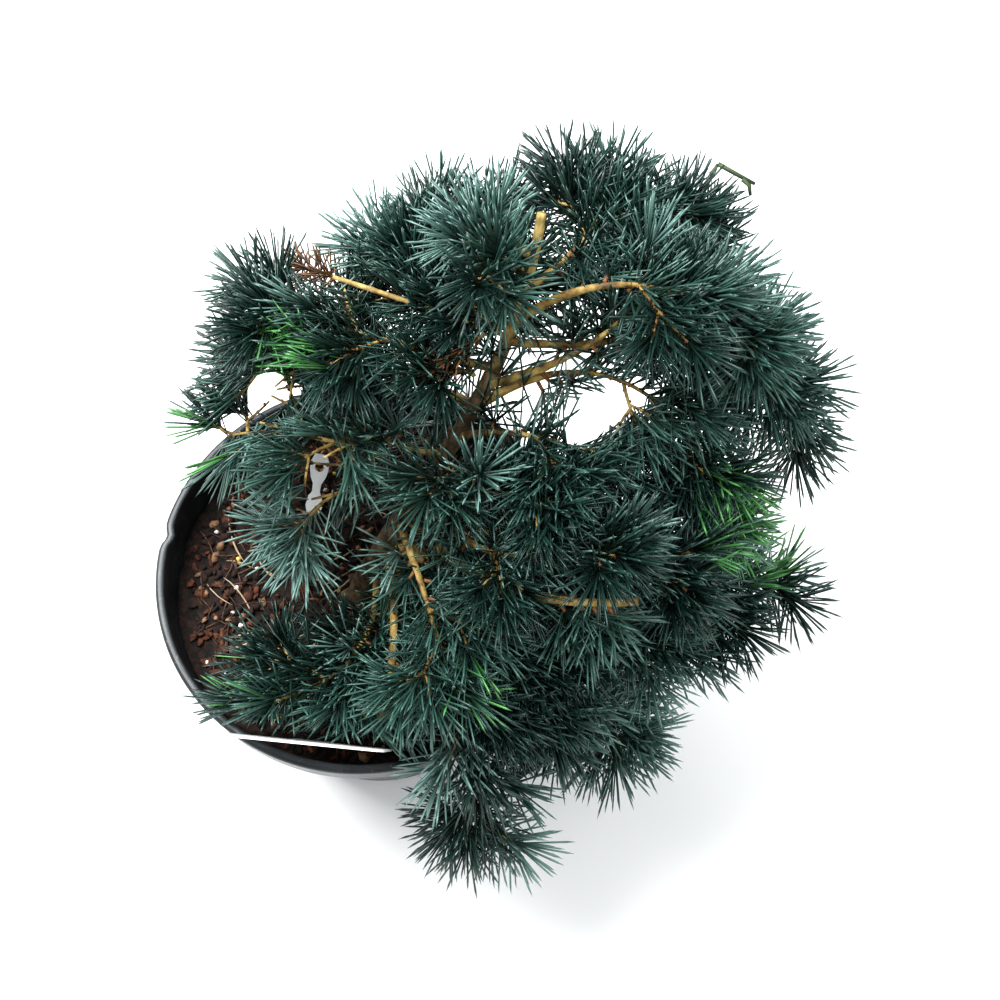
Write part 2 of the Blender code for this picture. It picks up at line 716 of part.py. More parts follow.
def main():
    for old in list(bpy.data.objects):
        bpy.data.objects.remove(old)
    finishes = {name: material(name) for name in COLOURS}
    make_pot(finishes["pot"])
    make_compost(finishes["compost"])
    make_card(finishes["white_plastic"])
    make_tag(finishes["white_plastic"])
    make_trunk(finishes["bark"])
    clearance = trunk_clearance(finishes["bark"])

    room = Room()
    keep_off_plates(room)
    trunk = [trunk_point(k / 16) for k in range(17)]
    room.add_limb(trunk, [trunk_radius(k / 16) for k in range(17)])
    for name, sizes in PRUNED.items():
        points, radii = make_bough(name, sizes, 1, PRUNED_THICKNESS, finishes["young_bark"], clearance)
        room.add_limb(points, radii)
    for name, sizes in LIMBS.items():
        bare = sizes[7]
        if bare > 0:
            points, radii = make_bough(
                "bough_" + name, sizes, bare, TIP_THICKNESS, finishes["young_bark"], clearance
            )
            room.add_limb(points, radii)
    stems = {}
    starts = {}
    for name, sizes in LIMBS.items():
        bare = sizes[7]
        start = bare + GAP / limb_speed(sizes, bare).length if bare > 0 else 0.04
        starts[name] = start
        stems[name] = limb_points(sizes, start, 1, 16 * MM)
        room.add_twig(stems[name], "needles_" + name)
    room.freeze()
    twigs = {}
    for name, stem in stems.items():
        twigs[name] = side_twigs("needles_" + name, stem, room, random.Random("twigs " + name))
    for name, stem in stems.items():
        rooted = LIMBS[name][7] == 0
        tangent = limb_speed(LIMBS[name], starts[name])
        finish = finishes["dead_needles" if name in DEAD_LIMBS else "needles"]
        make_mass("needles_" + name, stem, tangent, twigs[name], room, finish, clearance, rooted)


main()
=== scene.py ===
"""The looks of a young spreading blue deodar cedar in a black nursery pot.

Every limb is the same curve as in the part's source, in metres: the bare bough first, then the stem of its
mass. Twigs leave the stems left, right and above, finer twigs leave those, and all carry whorls of needles.
"""

import json
import math

import bmesh
import bpy
import numpy as np
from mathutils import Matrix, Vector, noise

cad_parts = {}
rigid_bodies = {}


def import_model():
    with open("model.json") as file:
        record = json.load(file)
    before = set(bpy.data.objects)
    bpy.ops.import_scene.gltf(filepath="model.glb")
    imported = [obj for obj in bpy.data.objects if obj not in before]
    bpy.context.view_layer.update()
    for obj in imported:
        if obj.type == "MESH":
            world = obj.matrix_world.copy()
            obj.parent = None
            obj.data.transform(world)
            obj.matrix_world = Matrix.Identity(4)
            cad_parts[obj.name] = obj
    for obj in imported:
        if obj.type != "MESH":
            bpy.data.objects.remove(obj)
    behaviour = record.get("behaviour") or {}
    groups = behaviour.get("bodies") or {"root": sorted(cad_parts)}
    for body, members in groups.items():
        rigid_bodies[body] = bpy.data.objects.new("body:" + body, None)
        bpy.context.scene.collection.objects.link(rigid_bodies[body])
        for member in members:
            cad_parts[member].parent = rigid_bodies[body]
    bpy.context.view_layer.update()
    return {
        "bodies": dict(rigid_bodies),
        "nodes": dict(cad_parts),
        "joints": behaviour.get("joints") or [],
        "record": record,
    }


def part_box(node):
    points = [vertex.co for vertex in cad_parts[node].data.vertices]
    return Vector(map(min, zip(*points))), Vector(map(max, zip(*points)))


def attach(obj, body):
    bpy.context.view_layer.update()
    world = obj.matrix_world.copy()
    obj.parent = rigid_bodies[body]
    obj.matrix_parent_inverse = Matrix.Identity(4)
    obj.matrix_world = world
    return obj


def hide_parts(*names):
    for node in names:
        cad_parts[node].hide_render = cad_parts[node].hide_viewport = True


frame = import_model()

MM = 0.001
UP = np.array([0.0, 0.0, 1.0])

# The pot and the compost: the rim and the height come from the frame, the rest is as in the source
POT_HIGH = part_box("pot")[1]
POT_HEIGHT = POT_HIGH.z
POT_RIM_RADIUS = POT_HIGH.x
POT_BASE_RADIUS = 75 * MM
POT_WALL = 1.6 * MM
POT_FLOOR = 2.5 * MM
POT_SIDES = 240
POT_FOOT_ROUNDING = 3 * MM
POT_WALL_ROWS = 14
POT_INNER_ROWS = 10
POT_CENTRE = 0.001 * MM
POT_MID_FLOOR = 40 * MM
RIM_BAND_HEIGHT = 19 * MM
RIM_STEP = 4.5 * MM
# The band in section, in millimetres: how far inside the rim's edge, how far over the band's foot
BAND_SECTION = ((3.7, 0.5), (2.0, 1.4), (1.5, 2.4))
LIP_WIDTH = 5 * MM
LIP_OUTER_ROUNDING = 2.4 * MM
LIP_INNER_ROUNDING = 1.2 * MM
LIP_DEPTH = 6 * MM
DRAIN_HOLES = 6
DRAIN_RADIUS = 6 * MM
DRAIN_CIRCLE = 56 * MM
DRAIN_TURN = 0.3
NOTCH_ANGLE = math.radians(170)
NOTCH_DEPTH = 2.6 * MM
NOTCH_WIDTH = math.radians(2.2)
NOTCH_FOOT = 8 * MM
SHARP_ANGLE = math.radians(42)
COMPOST_TOP = 141 * MM
COMPOST_RELIEF = 2.6 * MM
COMPOST_GAP = 0.3 * MM
COMPOST_SIDES = 180
COMPOST_RINGS = 56
# Chips of bark on the compost: finish and number; lengths in millimetres, widths as shares of the length
CHIPS = {"chips_dark": ("bark_dark", 900), "chips_red": ("bark_red", 520), "chips_tan": ("bark_tan", 170)}
CHIP_MARGIN = 5 * MM
CHIP_LENGTHS = (3, 9)
CHIP_WIDTHS = (0.28, 0.75)
CHIP_THICKNESSES = (0.5, 1.5)
CHIP_TILT = 0.5
# Fibres: finish, number, then in millimetres their distance from the edge, lengths and radii
FIBRES = {
    "fibres": ("fibre", 420, 10, (6, 22), (0.18, 0.5)),
    "straws": ("straw", 60, 16, (12, 34), (0.35, 0.7)),
}
FIBRE_PLACES = 7
FIBRE_SIDES = 5
# Grains: finish, number, radius in millimetres and how far the surface varies, as a share
GRAINS = {"prills": ("prill", 26, 1.5, 0.03), "perlite": ("perlite", 46, 1.3, 0.28)}
GRAIN_MARGIN = 8 * MM
GRAIN_SIZES = (0.7, 1.15)

# The card: where its stake stands, the way it faces, how far it leans back and how far it reaches
CARD_FOOT = np.array([-25, -88.5, 141]) * MM
CARD_HEADING = math.radians(-5.8)
CARD_LEAN = math.radians(15.7)
CARD_LEFT = 71 * MM
CARD_RIGHT = 46 * MM
CARD_HEIGHT = 80 * MM

# The trunk and the limbs, as in the source
TRUNK_FOOT = np.array([-2, -5, 141.3]) * MM
TRUNK_RISE = np.array([16, 6, 230]) * MM
TRUNK_LEAN = np.array([80, 50, 262]) * MM
TRUNK_TIP = np.array([92, 107, 344]) * MM
TRUNK_FOOT_RADIUS = 7.5 * MM
TRUNK_TIP_RADIUS = 2.2 * MM
FLARE_RADIUS = 6 * MM
FLARE_HEIGHT = 16 * MM
FLARE_LOBES = 5
TRUNK_ROWS = 150
TRUNK_SIDES = 36
LIMB_SIDES = 14
LIMB_STEP = 1.6 * MM
# Bark relief, as shares of the radius: long ridges, then the cushions that needles left
TRUNK_RELIEF = (0.16, 0.09)
LIMB_RELIEF = (0.20, 0.14)
RIDGE_LENGTH = 14 * MM
CUSHION_LENGTH = 2.6 * MM
# share of the trunk, heading in degrees, then in millimetres reach, rise, bow, arch and root thickness,
# and the share that is bare
LIMBS = {
    "back_left": (0.82, 124, 82, -19, 29, 6, 4.4, 0.36),
    "back_mid": (0.86, 65, 81, -17, -18, 21, 4.4, 0.36),
    "back_right": (0.66, 47, 115, 31, -37, 24, 4.8, 0.40),
    "back_far_right": (0.76, 36, 126, -17, -38, 14, 4.6, 0.42),
    "right_arch": (0.80, -5, 158, -100, 6, 75, 5.0, 0.34),
    "right_high": (0.60, -16, 139, -48, 24, 46, 5.0, 0.36),
    "right_mid": (0.53, -14, 106, -26, 0, 32, 4.4, 0.34),
    "centre_right": (0.37, -19, 107, 33, -27, 6, 4.6, 0.42),
    "right_fresh": (0.41, -9, 155, -5, -37, 3, 4.6, 0.44),
    "right_low": (0.335, -3, 200, -75, -30, 8, 4.8, 0.44),
    "front_right": (0.215, -16, 173, -47, -20, 22, 4.6, 0.42),
    "front_low": (0.15, -29, 155, -64, -17, 42, 4.4, 0.42),
    "front": (0.245, -50, 132, -45, 3, 28, 4.6, 0.40),
    "front_long": (0.27, -72, 151, -82, -1, 59, 4.8, 0.36),
    "front_left": (0.09, -99, 80, 4, 17, 17, 4.0, 0.38),
    "left_front": (0.12, -134, 109, 5, 35, 18, 4.6, 0.42),
    "left_low": (0.35, -174, 59, -14, -2, 23, 4.0, 0.34),
    "left_mid": (0.41, 162, 124, -35, 5, 38, 4.6, 0.34),
    "left_up": (0.48, 150, 76, 13, 15, 12, 4.0, 0.34),
    "left_droop": (0.61, 162, 156, -78, 0, 41, 4.8, 0.32),
    "left_high": (0.70, 154, 149, -37, 16, 26, 4.8, 0.32),
    "inner_back": (0.74, 98, 76, 7, 2, 13, 3.2, 0.0),
    "inner_left": (0.65, 128, 78, 13, 2, 14, 3.2, 0.0),
    "inner_top": (0.90, -132, 36, 31, -7, -1, 2.8, 0.0),
    "inner_right": (0.47, -17, 71, 20, -19, 10, 3.2, 0.0),
    "dead_left": (0.77, 152, 119, -28, 9, 18, 2.6, 0.76),
}
PRUNED = {
    "pruned_right": (0.30, -29, 131, 43, -20, 6, 5.4, 1.0),
    "pruned_front": (0.185, -89, 98, 13, 6, 6, 4.6, 1.0),
}
DEAD_LIMBS = ("dead_left",)
TIP_THICKNESS = 2.6 * MM
PRUNED_THICKNESS = 3.8 * MM
# Shares at which the needled stems start, and end where that is short of the whole limb
STEM_START = 0.08
STEM_ENDS = {"left_high": 0.88, "left_droop": 0.86, "left_mid": 0.90, "left_front": 0.94}
STEM_STEP = 4 * MM

# Twigs: rolls in degrees about their stem, and ranges that the seeded draws are taken from
TWIG_SPACING = 15 * MM
TWIG_LENGTH = 38 * MM
TWIG_LENGTHS = (0.75, 1.1)
TWIG_TAPER = 0.5
TWIG_SHORTEST = 12 * MM
TWIG_ANGLE = math.radians(52)
TWIG_ROLLS = (14, 166, 88)
TWIG_ROLL_SPREAD = 22
TOP_TWIG_SHARE = 0.6
TWIG_DROOP = 6 * MM
TWIG_WAVER = 0.05
TWIG_RADIUS = 1.0 * MM
TWIG_TIP_RADIUS = 0.6 * MM
TWIG_SIDES = 6
TWIG_CLEARANCE = 3 * MM
FIRST_TWIG = 0.25 * TWIG_SPACING
LAST_TWIG = 5 * MM
FINE_LENGTH = 16 * MM
FINE_LENGTHS = (0.7, 1.1)
FINE_DROOP = 2 * MM
FINE_FROM = 24 * MM
FINE_PLACES = (0.35, 0.6)
FINE_NEEDLES = 0.92
# Lengths without needles at the foot of a stem, a twig, a finer twig and the dead stem, and at every tip
STEM_BARE = 3 * MM
TWIG_BARE = 4 * MM
FINE_BARE = 3 * MM
DEAD_BARE = 6 * MM
TIP_BARE = 2 * MM

# Whorls and spurs: leans, between a needle and its shoot, are in degrees, spreads and the unevenness of
# turns in radians, and the depth of a whorl in millimetres
WHORL_SPACING = 5.2 * MM
WHORL_UNEVENNESS = 0.25
WHORL_DEPTH = 1.6
NEEDLES_A_WHORL = 11
WHORL_LEAN = 66
WHORL_LEAN_LOST = 20
WHORL_SPREAD = 0.24
NEEDLES_AT_TIP = 24
TIP_LEAN = 42
TIP_SPREAD = 0.34
SPUR_SPACING = 9 * MM
SPUR_LENGTH = 4.5 * MM
SPUR_LENGTHS = (0.8, 1.6)
SPUR_NEEDLES = (0.72, 0.95)
SPUR_RADII = np.array([1.1, 1.0, 0.9]) * MM
SPUR_REACH = 12 * MM
NEEDLES_A_SPUR = 17
SPUR_LEAN = 58
SPUR_SPREAD = 0.36
# Between which rolls in degrees spurs stand: on boughs, under the pruned limbs and around the trunk
BOUGH_ROLLS = (-70, 250)
PRUNED_ROLLS = (195, 345)
TRUNK_ROLLS = (0, 360)
BUD_PLACES = np.array([0.2, 1.0, 1.7]) * MM
BUD_RADII = np.array([0.9, 0.8, 0.25]) * MM
BUD_SIDES = 5

# Needles, each a three-sided blade
NEEDLE_LENGTH = 29 * MM
NEEDLE_LENGTHS = (0.78, 1.06)
NEEDLE_WIDTH = 0.62 * MM
NEEDLE_WIDTHS = (0.85, 1.15)
NEEDLE_FOOT = 0.8
NEEDLE_SHOULDER = 0.86
NEEDLE_LIFT = 0.10
NEEDLE_SWEEP = 0.07
NEEDLE_WAVER = 0.5 * MM
NEEDLE_LEANS = (0.08, 1.5)
NEEDLE_CLEARANCE = 1.0 * MM
NEEDLE_POINTS = 7
NEEDLE_TRIANGLES = 10
DEAD_NEEDLES = 0.62
DRY_NEEDLES = 0.42
NEEDLES_A_DRY_WHORL = 4
DRY_LEAN = 28
DRY_SPREAD = 0.2
PIECE_TRIANGLES = 190000

# Colour classes: share of the sprays, base colour, colour it varies to
SPRAY_COLOURS = {
    "dark": (0.44, (0.010, 0.034, 0.027), (0.020, 0.060, 0.047)),
    "mid": (0.34, (0.030, 0.082, 0.065), (0.056, 0.130, 0.104)),
    # The glaucous class is the pale bloom of blue needles, made lighter still as a painted highlight on
    # whole sprays
    "glaucous_and_highlight": (0.22, (0.085, 0.175, 0.150), (0.160, 0.275, 0.240)),
    "fresh": (0.0, (0.050, 0.190, 0.060), (0.125, 0.350, 0.110)),
    "dead": (0.0, (0.105, 0.050, 0.020), (0.220, 0.110, 0.045)),
}
# Young green needles: a place in millimetres, the reach around its line of sight, the share of its needles
FRESH_SPOTS = (
    ((207, 2, 200), 26, 0.50),
    ((190, 18, 215), 18, 0.35),
    ((-92, 58, 200), 15, 0.85),
    ((-38, 92, 240), 14, 0.85),
    ((-68, -72, 180), 20, 0.10),
    ((60, -75, 190), 14, 0.20),
)
# Places in millimetres that stay open to the camera: the ends of a line and how far around it is clear
CLEARINGS = (
    ((-26, 70, 162), (-34, 56, 124), 9),
    ((-94, -97, 205), (-12, -106, 205), 3),
    ((-91, 73, 166), (-43, 106, 166), 5),
    ((-62, 110, 160), (-56, 112, 160), 8),
    ((115, 53, 230), (139, 60, 250), 8),
    ((76, 62, 250), (97, 64, 260), 4),
    ((-76, -95, 150), (-37, -110, 150), 11),
)
DEAD_LIMB_CLEARING = 4.5 * MM
CLEARING_STEP = 3 * MM

# Dead twigs caught between the boughs, each by the three handles of its curve, in millimetres
DRY_SPRAYS = (
    ((36.6, 36.5, 250), (32, 26, 246), (25, 13.7, 236)),
    ((36.6, 36.5, 250), (28, 33, 248), (20, 25, 240)),
    ((65.5, 67.4, 302), (54, 58, 298), (43.9, 53.8, 292)),
    ((48, 56, 294), (38, 54, 290), (28, 58, 282)),
)
DRY_PLACES = 9
# The stub beside the pruned leader and the broken green shoot at the back right, in millimetres
LEADER_STUB = ((88, 94, 326), (85.5, 92, 332), (83.4, 91, 338))
LEADER_STUB_RADII = np.array([2.2, 1.9, 1.8]) * MM
LEADER_STUB_SIDES = 10
BROKEN_SHOOTS = (
    ((176, 163, 270), (181, 172, 281), (184.4, 175.6, 285)),
    ((184.4, 175.6, 285), (193.9, 171.5, 282), (203.5, 166.8, 280)),
    ((197, 169, 281), (200.5, 166, 280), (201, 161.5, 278)),
)
BROKEN_RADII = np.array([1.3, 1.2, 0.9]) * MM
BROKEN_SIDES = 8

# Finishes: colours, roughness and scale of the mottling, then depth in millimetres and scale of a relief
FINISHES = {
    "old_bark": (((0.055, 0.035, 0.02), (0.13, 0.09, 0.05), (0.22, 0.16, 0.09)), 0.85, 160, 0.6, 420),
    "young_bark": (((0.10, 0.055, 0.018), (0.33, 0.22, 0.06), (0.50, 0.37, 0.13)), 0.6, 110, 0.5, 420),
    "dry_bark": (((0.22, 0.14, 0.05), (0.50, 0.38, 0.14)), 0.8, 150, 0.4, 500),
    "green_wood": (((0.020, 0.040, 0.016), (0.060, 0.090, 0.035)), 0.6, 200, 0.3, 500),
    "bud_scales": (((0.14, 0.055, 0.02), (0.30, 0.14, 0.05)), 0.6, 300),
    "white_plastic": (((0.88, 0.90, 0.90), (0.94, 0.95, 0.95)), 0.4, 60, 0.05, 200),
    "pot_plastic": (((0.010, 0.013, 0.015), (0.022, 0.028, 0.031)), 0.38, 45, 0.05, 700),
    "compost": (((0.003, 0.002, 0.0015), (0.012, 0.006, 0.004), (0.030, 0.013, 0.008)), 0.95, 260, 1.2, 420),
    "bark_dark": (((0.006, 0.003, 0.002), (0.028, 0.011, 0.006)), 0.9, 300, 0.5, 900),
    "bark_red": (((0.030, 0.010, 0.005), (0.120, 0.038, 0.015)), 0.85, 300, 0.5, 900),
    "bark_tan": (((0.16, 0.09, 0.05), (0.30, 0.18, 0.10)), 0.85, 300, 0.5, 900),
    "fibre": (((0.03, 0.015, 0.009), (0.13, 0.07, 0.04)), 0.9, 200),
    "straw": (((0.30, 0.22, 0.14), (0.50, 0.40, 0.28)), 0.8, 200),
    "prill": (((0.55, 0.38, 0.06), (0.80, 0.62, 0.16)), 0.35, 300),
    "perlite": (((0.60, 0.58, 0.54), (0.82, 0.80, 0.76)), 0.9, 500, 0.4, 900),
    "pale_floor": (((0.93, 0.93, 0.93), (0.97, 0.97, 0.97)), 0.8, 3),
}
NEEDLE_FINISH = {"roughness": 0.36, "scale": 90, "specular": 0.7}
# The pot's dust: scale, colour and the noise value from which it shows
POT_DUST = (420, (0.07, 0.075, 0.075), 0.66)
DUST_EDGE = 0.06
# The trunk's young wood: the heights between which it takes over, and its colours
YOUNG_WOOD = (0.27, 0.31, ((0.20, 0.13, 0.035), (0.50, 0.38, 0.14)))
RAMP_LOW, RAMP_HIGH = 0.36, 0.64
ROUGHNESS_RANGE = 0.1

# Camera and lights
FLOOR_REACH = 6.0
LAMPS = {"key": ((-0.6, 0.5, 1.4), 1.1, 50), "fill": ((0.9, -0.5, 1.2), 1.4, 10)}
SKY_COLOUR = (0.95, 0.98, 1, 1)
SKY_STRENGTH = 0.62
CAMERA_ELEVATION = math.radians(66.5)
CAMERA_DISTANCE = 0.9
CAMERA_TARGET = Vector((0.0727, 0.0397, 0.166))
CAMERA_LENS = 59.4
CAMERA_SENSOR = 36
CAMERA_AHEAD = Vector((0, math.cos(CAMERA_ELEVATION), -math.sin(CAMERA_ELEVATION)))
CAMERA_PLACE = CAMERA_TARGET - CAMERA_AHEAD * CAMERA_DISTANCE


# Materials


def noise_at(nodes, links, place, scale, detail):
    made = nodes.new("ShaderNodeTexNoise")
    made.inputs["Scale"].default_value = scale
    made.inputs["Detail"].default_value = detail
    links.new(place, made.inputs["Vector"])
    return made.outputs["Fac"]


def ramp_of(nodes, links, pattern, colours):
    """Two or more colours in even steps over the middle of a noise."""
    made = nodes.new("ShaderNodeValToRGB")
    stops = made.color_ramp.elements
    stops[0].position, stops[1].position = RAMP_LOW, RAMP_HIGH
    stops[0].color, stops[1].color = (*colours[0], 1), (*colours[-1], 1)
    for k, colour in enumerate(colours[1:-1], 1):
        position = RAMP_LOW + (RAMP_HIGH - RAMP_LOW) * k / (len(colours) - 1)
        stops.new(position).color = (*colour, 1)
    links.new(pattern, made.inputs["Fac"])
    return made.outputs["Color"]


def limited(nodes, links, value, ends, low, high):
    """A value mapped to or from a range, by the names of the range's ends."""
    made = nodes.new("ShaderNodeMapRange")
    made.inputs[ends + " Min"].default_value = low
    made.inputs[ends + " Max"].default_value = high
    links.new(value, made.inputs["Value"])
    return made.outputs["Result"]


def mixed(nodes, links, share, colour):
    """A mix of a linked colour with whatever the caller sets or links as its second colour."""
    made = nodes.new("ShaderNodeMix")
    made.data_type = "RGBA"
    links.new(share, made.inputs["Factor"])
    links.new(colour, made.inputs["A"])
    return made


def surface(name, colours, roughness, scale, bump=0.0, bump_scale=0, specular=0.5, dust=None, fade=None):
    """A mottled surface whose colour and roughness follow noises, with a relief of bump millimetres."""
    made = bpy.data.materials.new(name)
    made.use_nodes = True
    nodes, links = made.node_tree.nodes, made.node_tree.links
    shader = nodes["Principled BSDF"]
    shader.inputs["Roughness"].default_value = roughness
    shader.inputs["Specular IOR Level"].default_value = specular
    place = nodes.new("ShaderNodeTexCoord").outputs["Object"]
    pattern = noise_at(nodes, links, place, scale, 4)
    colour = ramp_of(nodes, links, pattern, colours)
    if dust:
        dust_scale, dust_colour, edge = dust
        grains = noise_at(nodes, links, place, dust_scale, 2)
        mix = mixed(nodes, links, limited(nodes, links, grains, "From", edge, edge + DUST_EDGE), colour)
        mix.inputs["B"].default_value = (*dust_colour, 1)
        colour = mix.outputs["Result"]
    if fade:
        low, high, upper_colours = fade
        parts = nodes.new("ShaderNodeSeparateXYZ")
        links.new(place, parts.inputs["Vector"])
        mix = mixed(nodes, links, limited(nodes, links, parts.outputs["Z"], "From", low, high), colour)
        links.new(ramp_of(nodes, links, pattern, upper_colours), mix.inputs["B"])
        colour = mix.outputs["Result"]
    links.new(colour, shader.inputs["Base Color"])
    low, high = max(0.05, roughness - ROUGHNESS_RANGE), min(1.0, roughness + ROUGHNESS_RANGE)
    wear = noise_at(nodes, links, place, scale * 2.3, 2)
    links.new(limited(nodes, links, wear, "To", low, high), shader.inputs["Roughness"])
    if bump:
        relief = nodes.new("ShaderNodeBump")
        relief.inputs["Distance"].default_value = bump * MM
        relief.inputs["Strength"].default_value = 1.0
        links.new(noise_at(nodes, links, place, bump_scale, 4), relief.inputs["Height"])
        links.new(relief.outputs["Normal"], shader.inputs["Normal"])
    return made


def finish_of(name, **more):
    return surface(name, *FINISHES[name], **more)


def needle_surface(name):
    return surface("needle_" + name, SPRAY_COLOURS[name][1:], **NEEDLE_FINISH)


# Meshes from arrays


class Pile:
    """Gathers points and triangles of many small shapes for one joined piece."""

    def __init__(self):
        self.points, self.triangles, self.count = [], [], 0

    def add(self, points, triangles):
        self.points.append(np.asarray(points, float).reshape(-1, 3))
        self.triangles.append(np.asarray(triangles, int).reshape(-1, 3) + self.count)
        self.count += len(self.points[-1])

    def piece(self, name, finish, smooth=True):
        points, triangles = np.concatenate(self.points), np.concatenate(self.triangles)
        mesh = bpy.data.meshes.new(name)
        mesh.vertices.add(len(points))
        mesh.vertices.foreach_set("co", points.astype(np.float32).ravel())
        mesh.loops.add(triangles.size)
        mesh.loops.foreach_set("vertex_index", triangles.astype(np.int32).ravel())
        mesh.polygons.add(len(triangles))
        mesh.polygons.foreach_set("loop_start", np.arange(0, triangles.size, 3, dtype=np.int32))
        mesh.update(calc_edges=True)
        mesh.materials.append(finish)
        if smooth:
            mesh.shade_smooth()
        made = bpy.data.objects.new(name, mesh)
        bpy.context.scene.collection.objects.link(made)
        return made


def handed_in(piece, nodes):
    """The piece rides on the plant's one body and stands for CAD nodes, which it hides."""
    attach(piece, "root")
    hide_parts(*nodes)


def unit(vectors):
    vectors = np.asarray(vectors, float)
    return vectors / np.maximum(np.linalg.norm(vectors, axis=-1, keepdims=True), 1e-12)


def frames_along(points):
    """Tangents, sides and normals along a line, turned as little as possible."""
    ahead = np.empty_like(points)
    ahead[1:-1] = points[2:] - points[:-2]
    ahead[0] = points[1] - points[0]
    ahead[-1] = points[-1] - points[-2]
    tangents = unit(ahead)
    sides = np.empty_like(points)
    side = np.cross(UP, tangents[0])
    if np.linalg.norm(side) < 0.2:
        side = np.cross(tangents[0], [0, 1, 0])
    for k, tangent in enumerate(tangents):
        side = unit(side - tangent * (side @ tangent))
        sides[k] = side
    return tangents, sides, np.cross(tangents, sides)


def closed_rings(rings, foot, head):
    """Points and triangles of rings of points, stacked from foot to head and closed on a point at each."""
    rows, sides = rings.shape[:2]
    row, column = np.meshgrid(np.arange(rows - 1), np.arange(sides), indexing="ij")
    a = row * sides + column
    b = row * sides + (column + 1) % sides
    c, d = b + sides, a + sides
    walls = [np.stack([a, b, c], -1).reshape(-1, 3), np.stack([a, c, d], -1).reshape(-1, 3)]
    k = np.arange(sides)
    count = rows * sides
    last = count - sides
    caps = [
        np.stack([(k + 1) % sides, k, np.full(sides, count)], 1),
        np.stack([last + k, last + (k + 1) % sides, np.full(sides, count + 1)], 1),
    ]
    return np.concatenate([rings.reshape(-1, 3), [foot, head]]), np.concatenate(walls + caps)


def turns_of(sides):
    return 2 * np.pi * np.arange(sides) / sides


def level_ring(radii, turns, heights):
    """Points around the pot's axis."""
    return np.stack([radii * np.cos(turns), radii * np.sin(turns), heights + 0 * turns], -1)


def tube(points, radii, sides):
    """Points and triangles of a closed tube; radii is one per ring, or one per ring and side."""
    _, side, normal = frames_along(points)
    turns = turns_of(sides)
    radii = np.asarray(radii, float)
    if radii.ndim == 1:
        radii = np.repeat(radii[:, None], sides, 1)
    around = side[:, None] * np.cos(turns)[None, :, None] + normal[:, None] * np.sin(turns)[None, :, None]
    return closed_rings(points[:, None] + around * radii[..., None], points[0], points[-1])


def turned(points, axis, angle):
    """Points turned about the axis of that number."""
    a, b = ((1, 2), (2, 0), (0, 1))[axis]
    out = np.array(points, float)
    out[..., a] = points[..., a] * math.cos(angle) - points[..., b] * math.sin(angle)
    out[..., b] = points[..., a] * math.sin(angle) + points[..., b] * math.cos(angle)
    return out


# Limb curves


def trunk_point(share):
    share = np.asarray(share, float)[..., None]
    rest = 1 - share
    return (
        TRUNK_FOOT * rest**3
        + TRUNK_RISE * 3 * share * rest**2
        + TRUNK_LEAN * 3 * share**2 * rest
        + TRUNK_TIP * share**3
    )


def trunk_radius(share):
    return TRUNK_FOOT_RADIUS + (TRUNK_TIP_RADIUS - TRUNK_FOOT_RADIUS) * share**0.8


def limb_points(sizes, start, end, spacing):
    """Points of a limb's centre line between two shares, about evenly spaced."""
    leaves, heading, reach, rise, bow, arch = sizes[:6]
    turn = math.radians(heading)
    ahead = np.array([math.cos(turn), math.sin(turn), 0])
    left = np.array([-ahead[1], ahead[0], 0])
    count = max(3, int((reach + abs(rise) + abs(arch)) * MM * (end - start) / spacing) + 2)
    share = np.linspace(start, end, count)[:, None]
    hump = 4 * share * (1 - share)
    across = ahead * reach * share + left * bow * hump
    return trunk_point(leaves) + (across + UP * (rise * share + arch * hump)) * MM


def along(points, distance):
    """The place on a line at a distance from its start, and the number of the stretch it is on."""
    steps = np.linalg.norm(np.diff(points, axis=0), axis=1)
    reached = np.concatenate([[0], np.cumsum(steps)])
    k = int(np.clip(np.searchsorted(reached, distance) - 1, 0, len(steps) - 1))
    share = np.clip((distance - reached[k]) / steps[k], 0, 1)
    return points[k] + (points[k + 1] - points[k]) * share, k


def length_of(points):
    return float(np.linalg.norm(np.diff(points, axis=0), axis=1).sum())


def inner_wall(height):
    """The pot's inner radius at a height under the rim band."""
    share = (height - POT_FLOOR) / (POT_HEIGHT - RIM_BAND_HEIGHT - POT_FLOOR)
    head = POT_RIM_RADIUS - RIM_STEP - POT_WALL
    return POT_BASE_RADIUS - POT_WALL + (head - POT_BASE_RADIUS + POT_WALL) * share


def sight_distance(points, spot):
    """How far points lie from the camera's line to a spot, and how far from the spot towards the camera."""
    spot = np.asarray(spot, float)
    toward = unit(np.array(CAMERA_PLACE) - spot)
    offset = points - spot
    ahead = offset @ toward
    return np.linalg.norm(offset - ahead[..., None] * toward, axis=-1), ahead


def clearing_spots():
    """Close-set places along each clearing, with the width that each keeps clear."""
    spots = []
    lines = [(np.array([start, end]) * MM, width * MM) for start, end, width in CLEARINGS]
    for name in DEAD_LIMBS:
        lines.append((limb_points(LIMBS[name], 0.5, 1.0, 8 * MM), DEAD_LIMB_CLEARING))
    for line, width in lines:
        for start, end in zip(line[:-1], line[1:]):
            count = max(2, int(np.linalg.norm(end - start) / CLEARING_STEP))
            for share in np.linspace(0, 1, count):
                spots.append((start + (end - start) * share, width))
    return spots


def covers(points, spots):
    """True for each point that hides one of the places kept clear."""
    hides = np.zeros(points.shape[:-1], bool)
    for spot, width in spots:
        aside, ahead = sight_distance(points, spot)
        hides |= (aside < width) & (ahead > 2 * MM)
    return hides


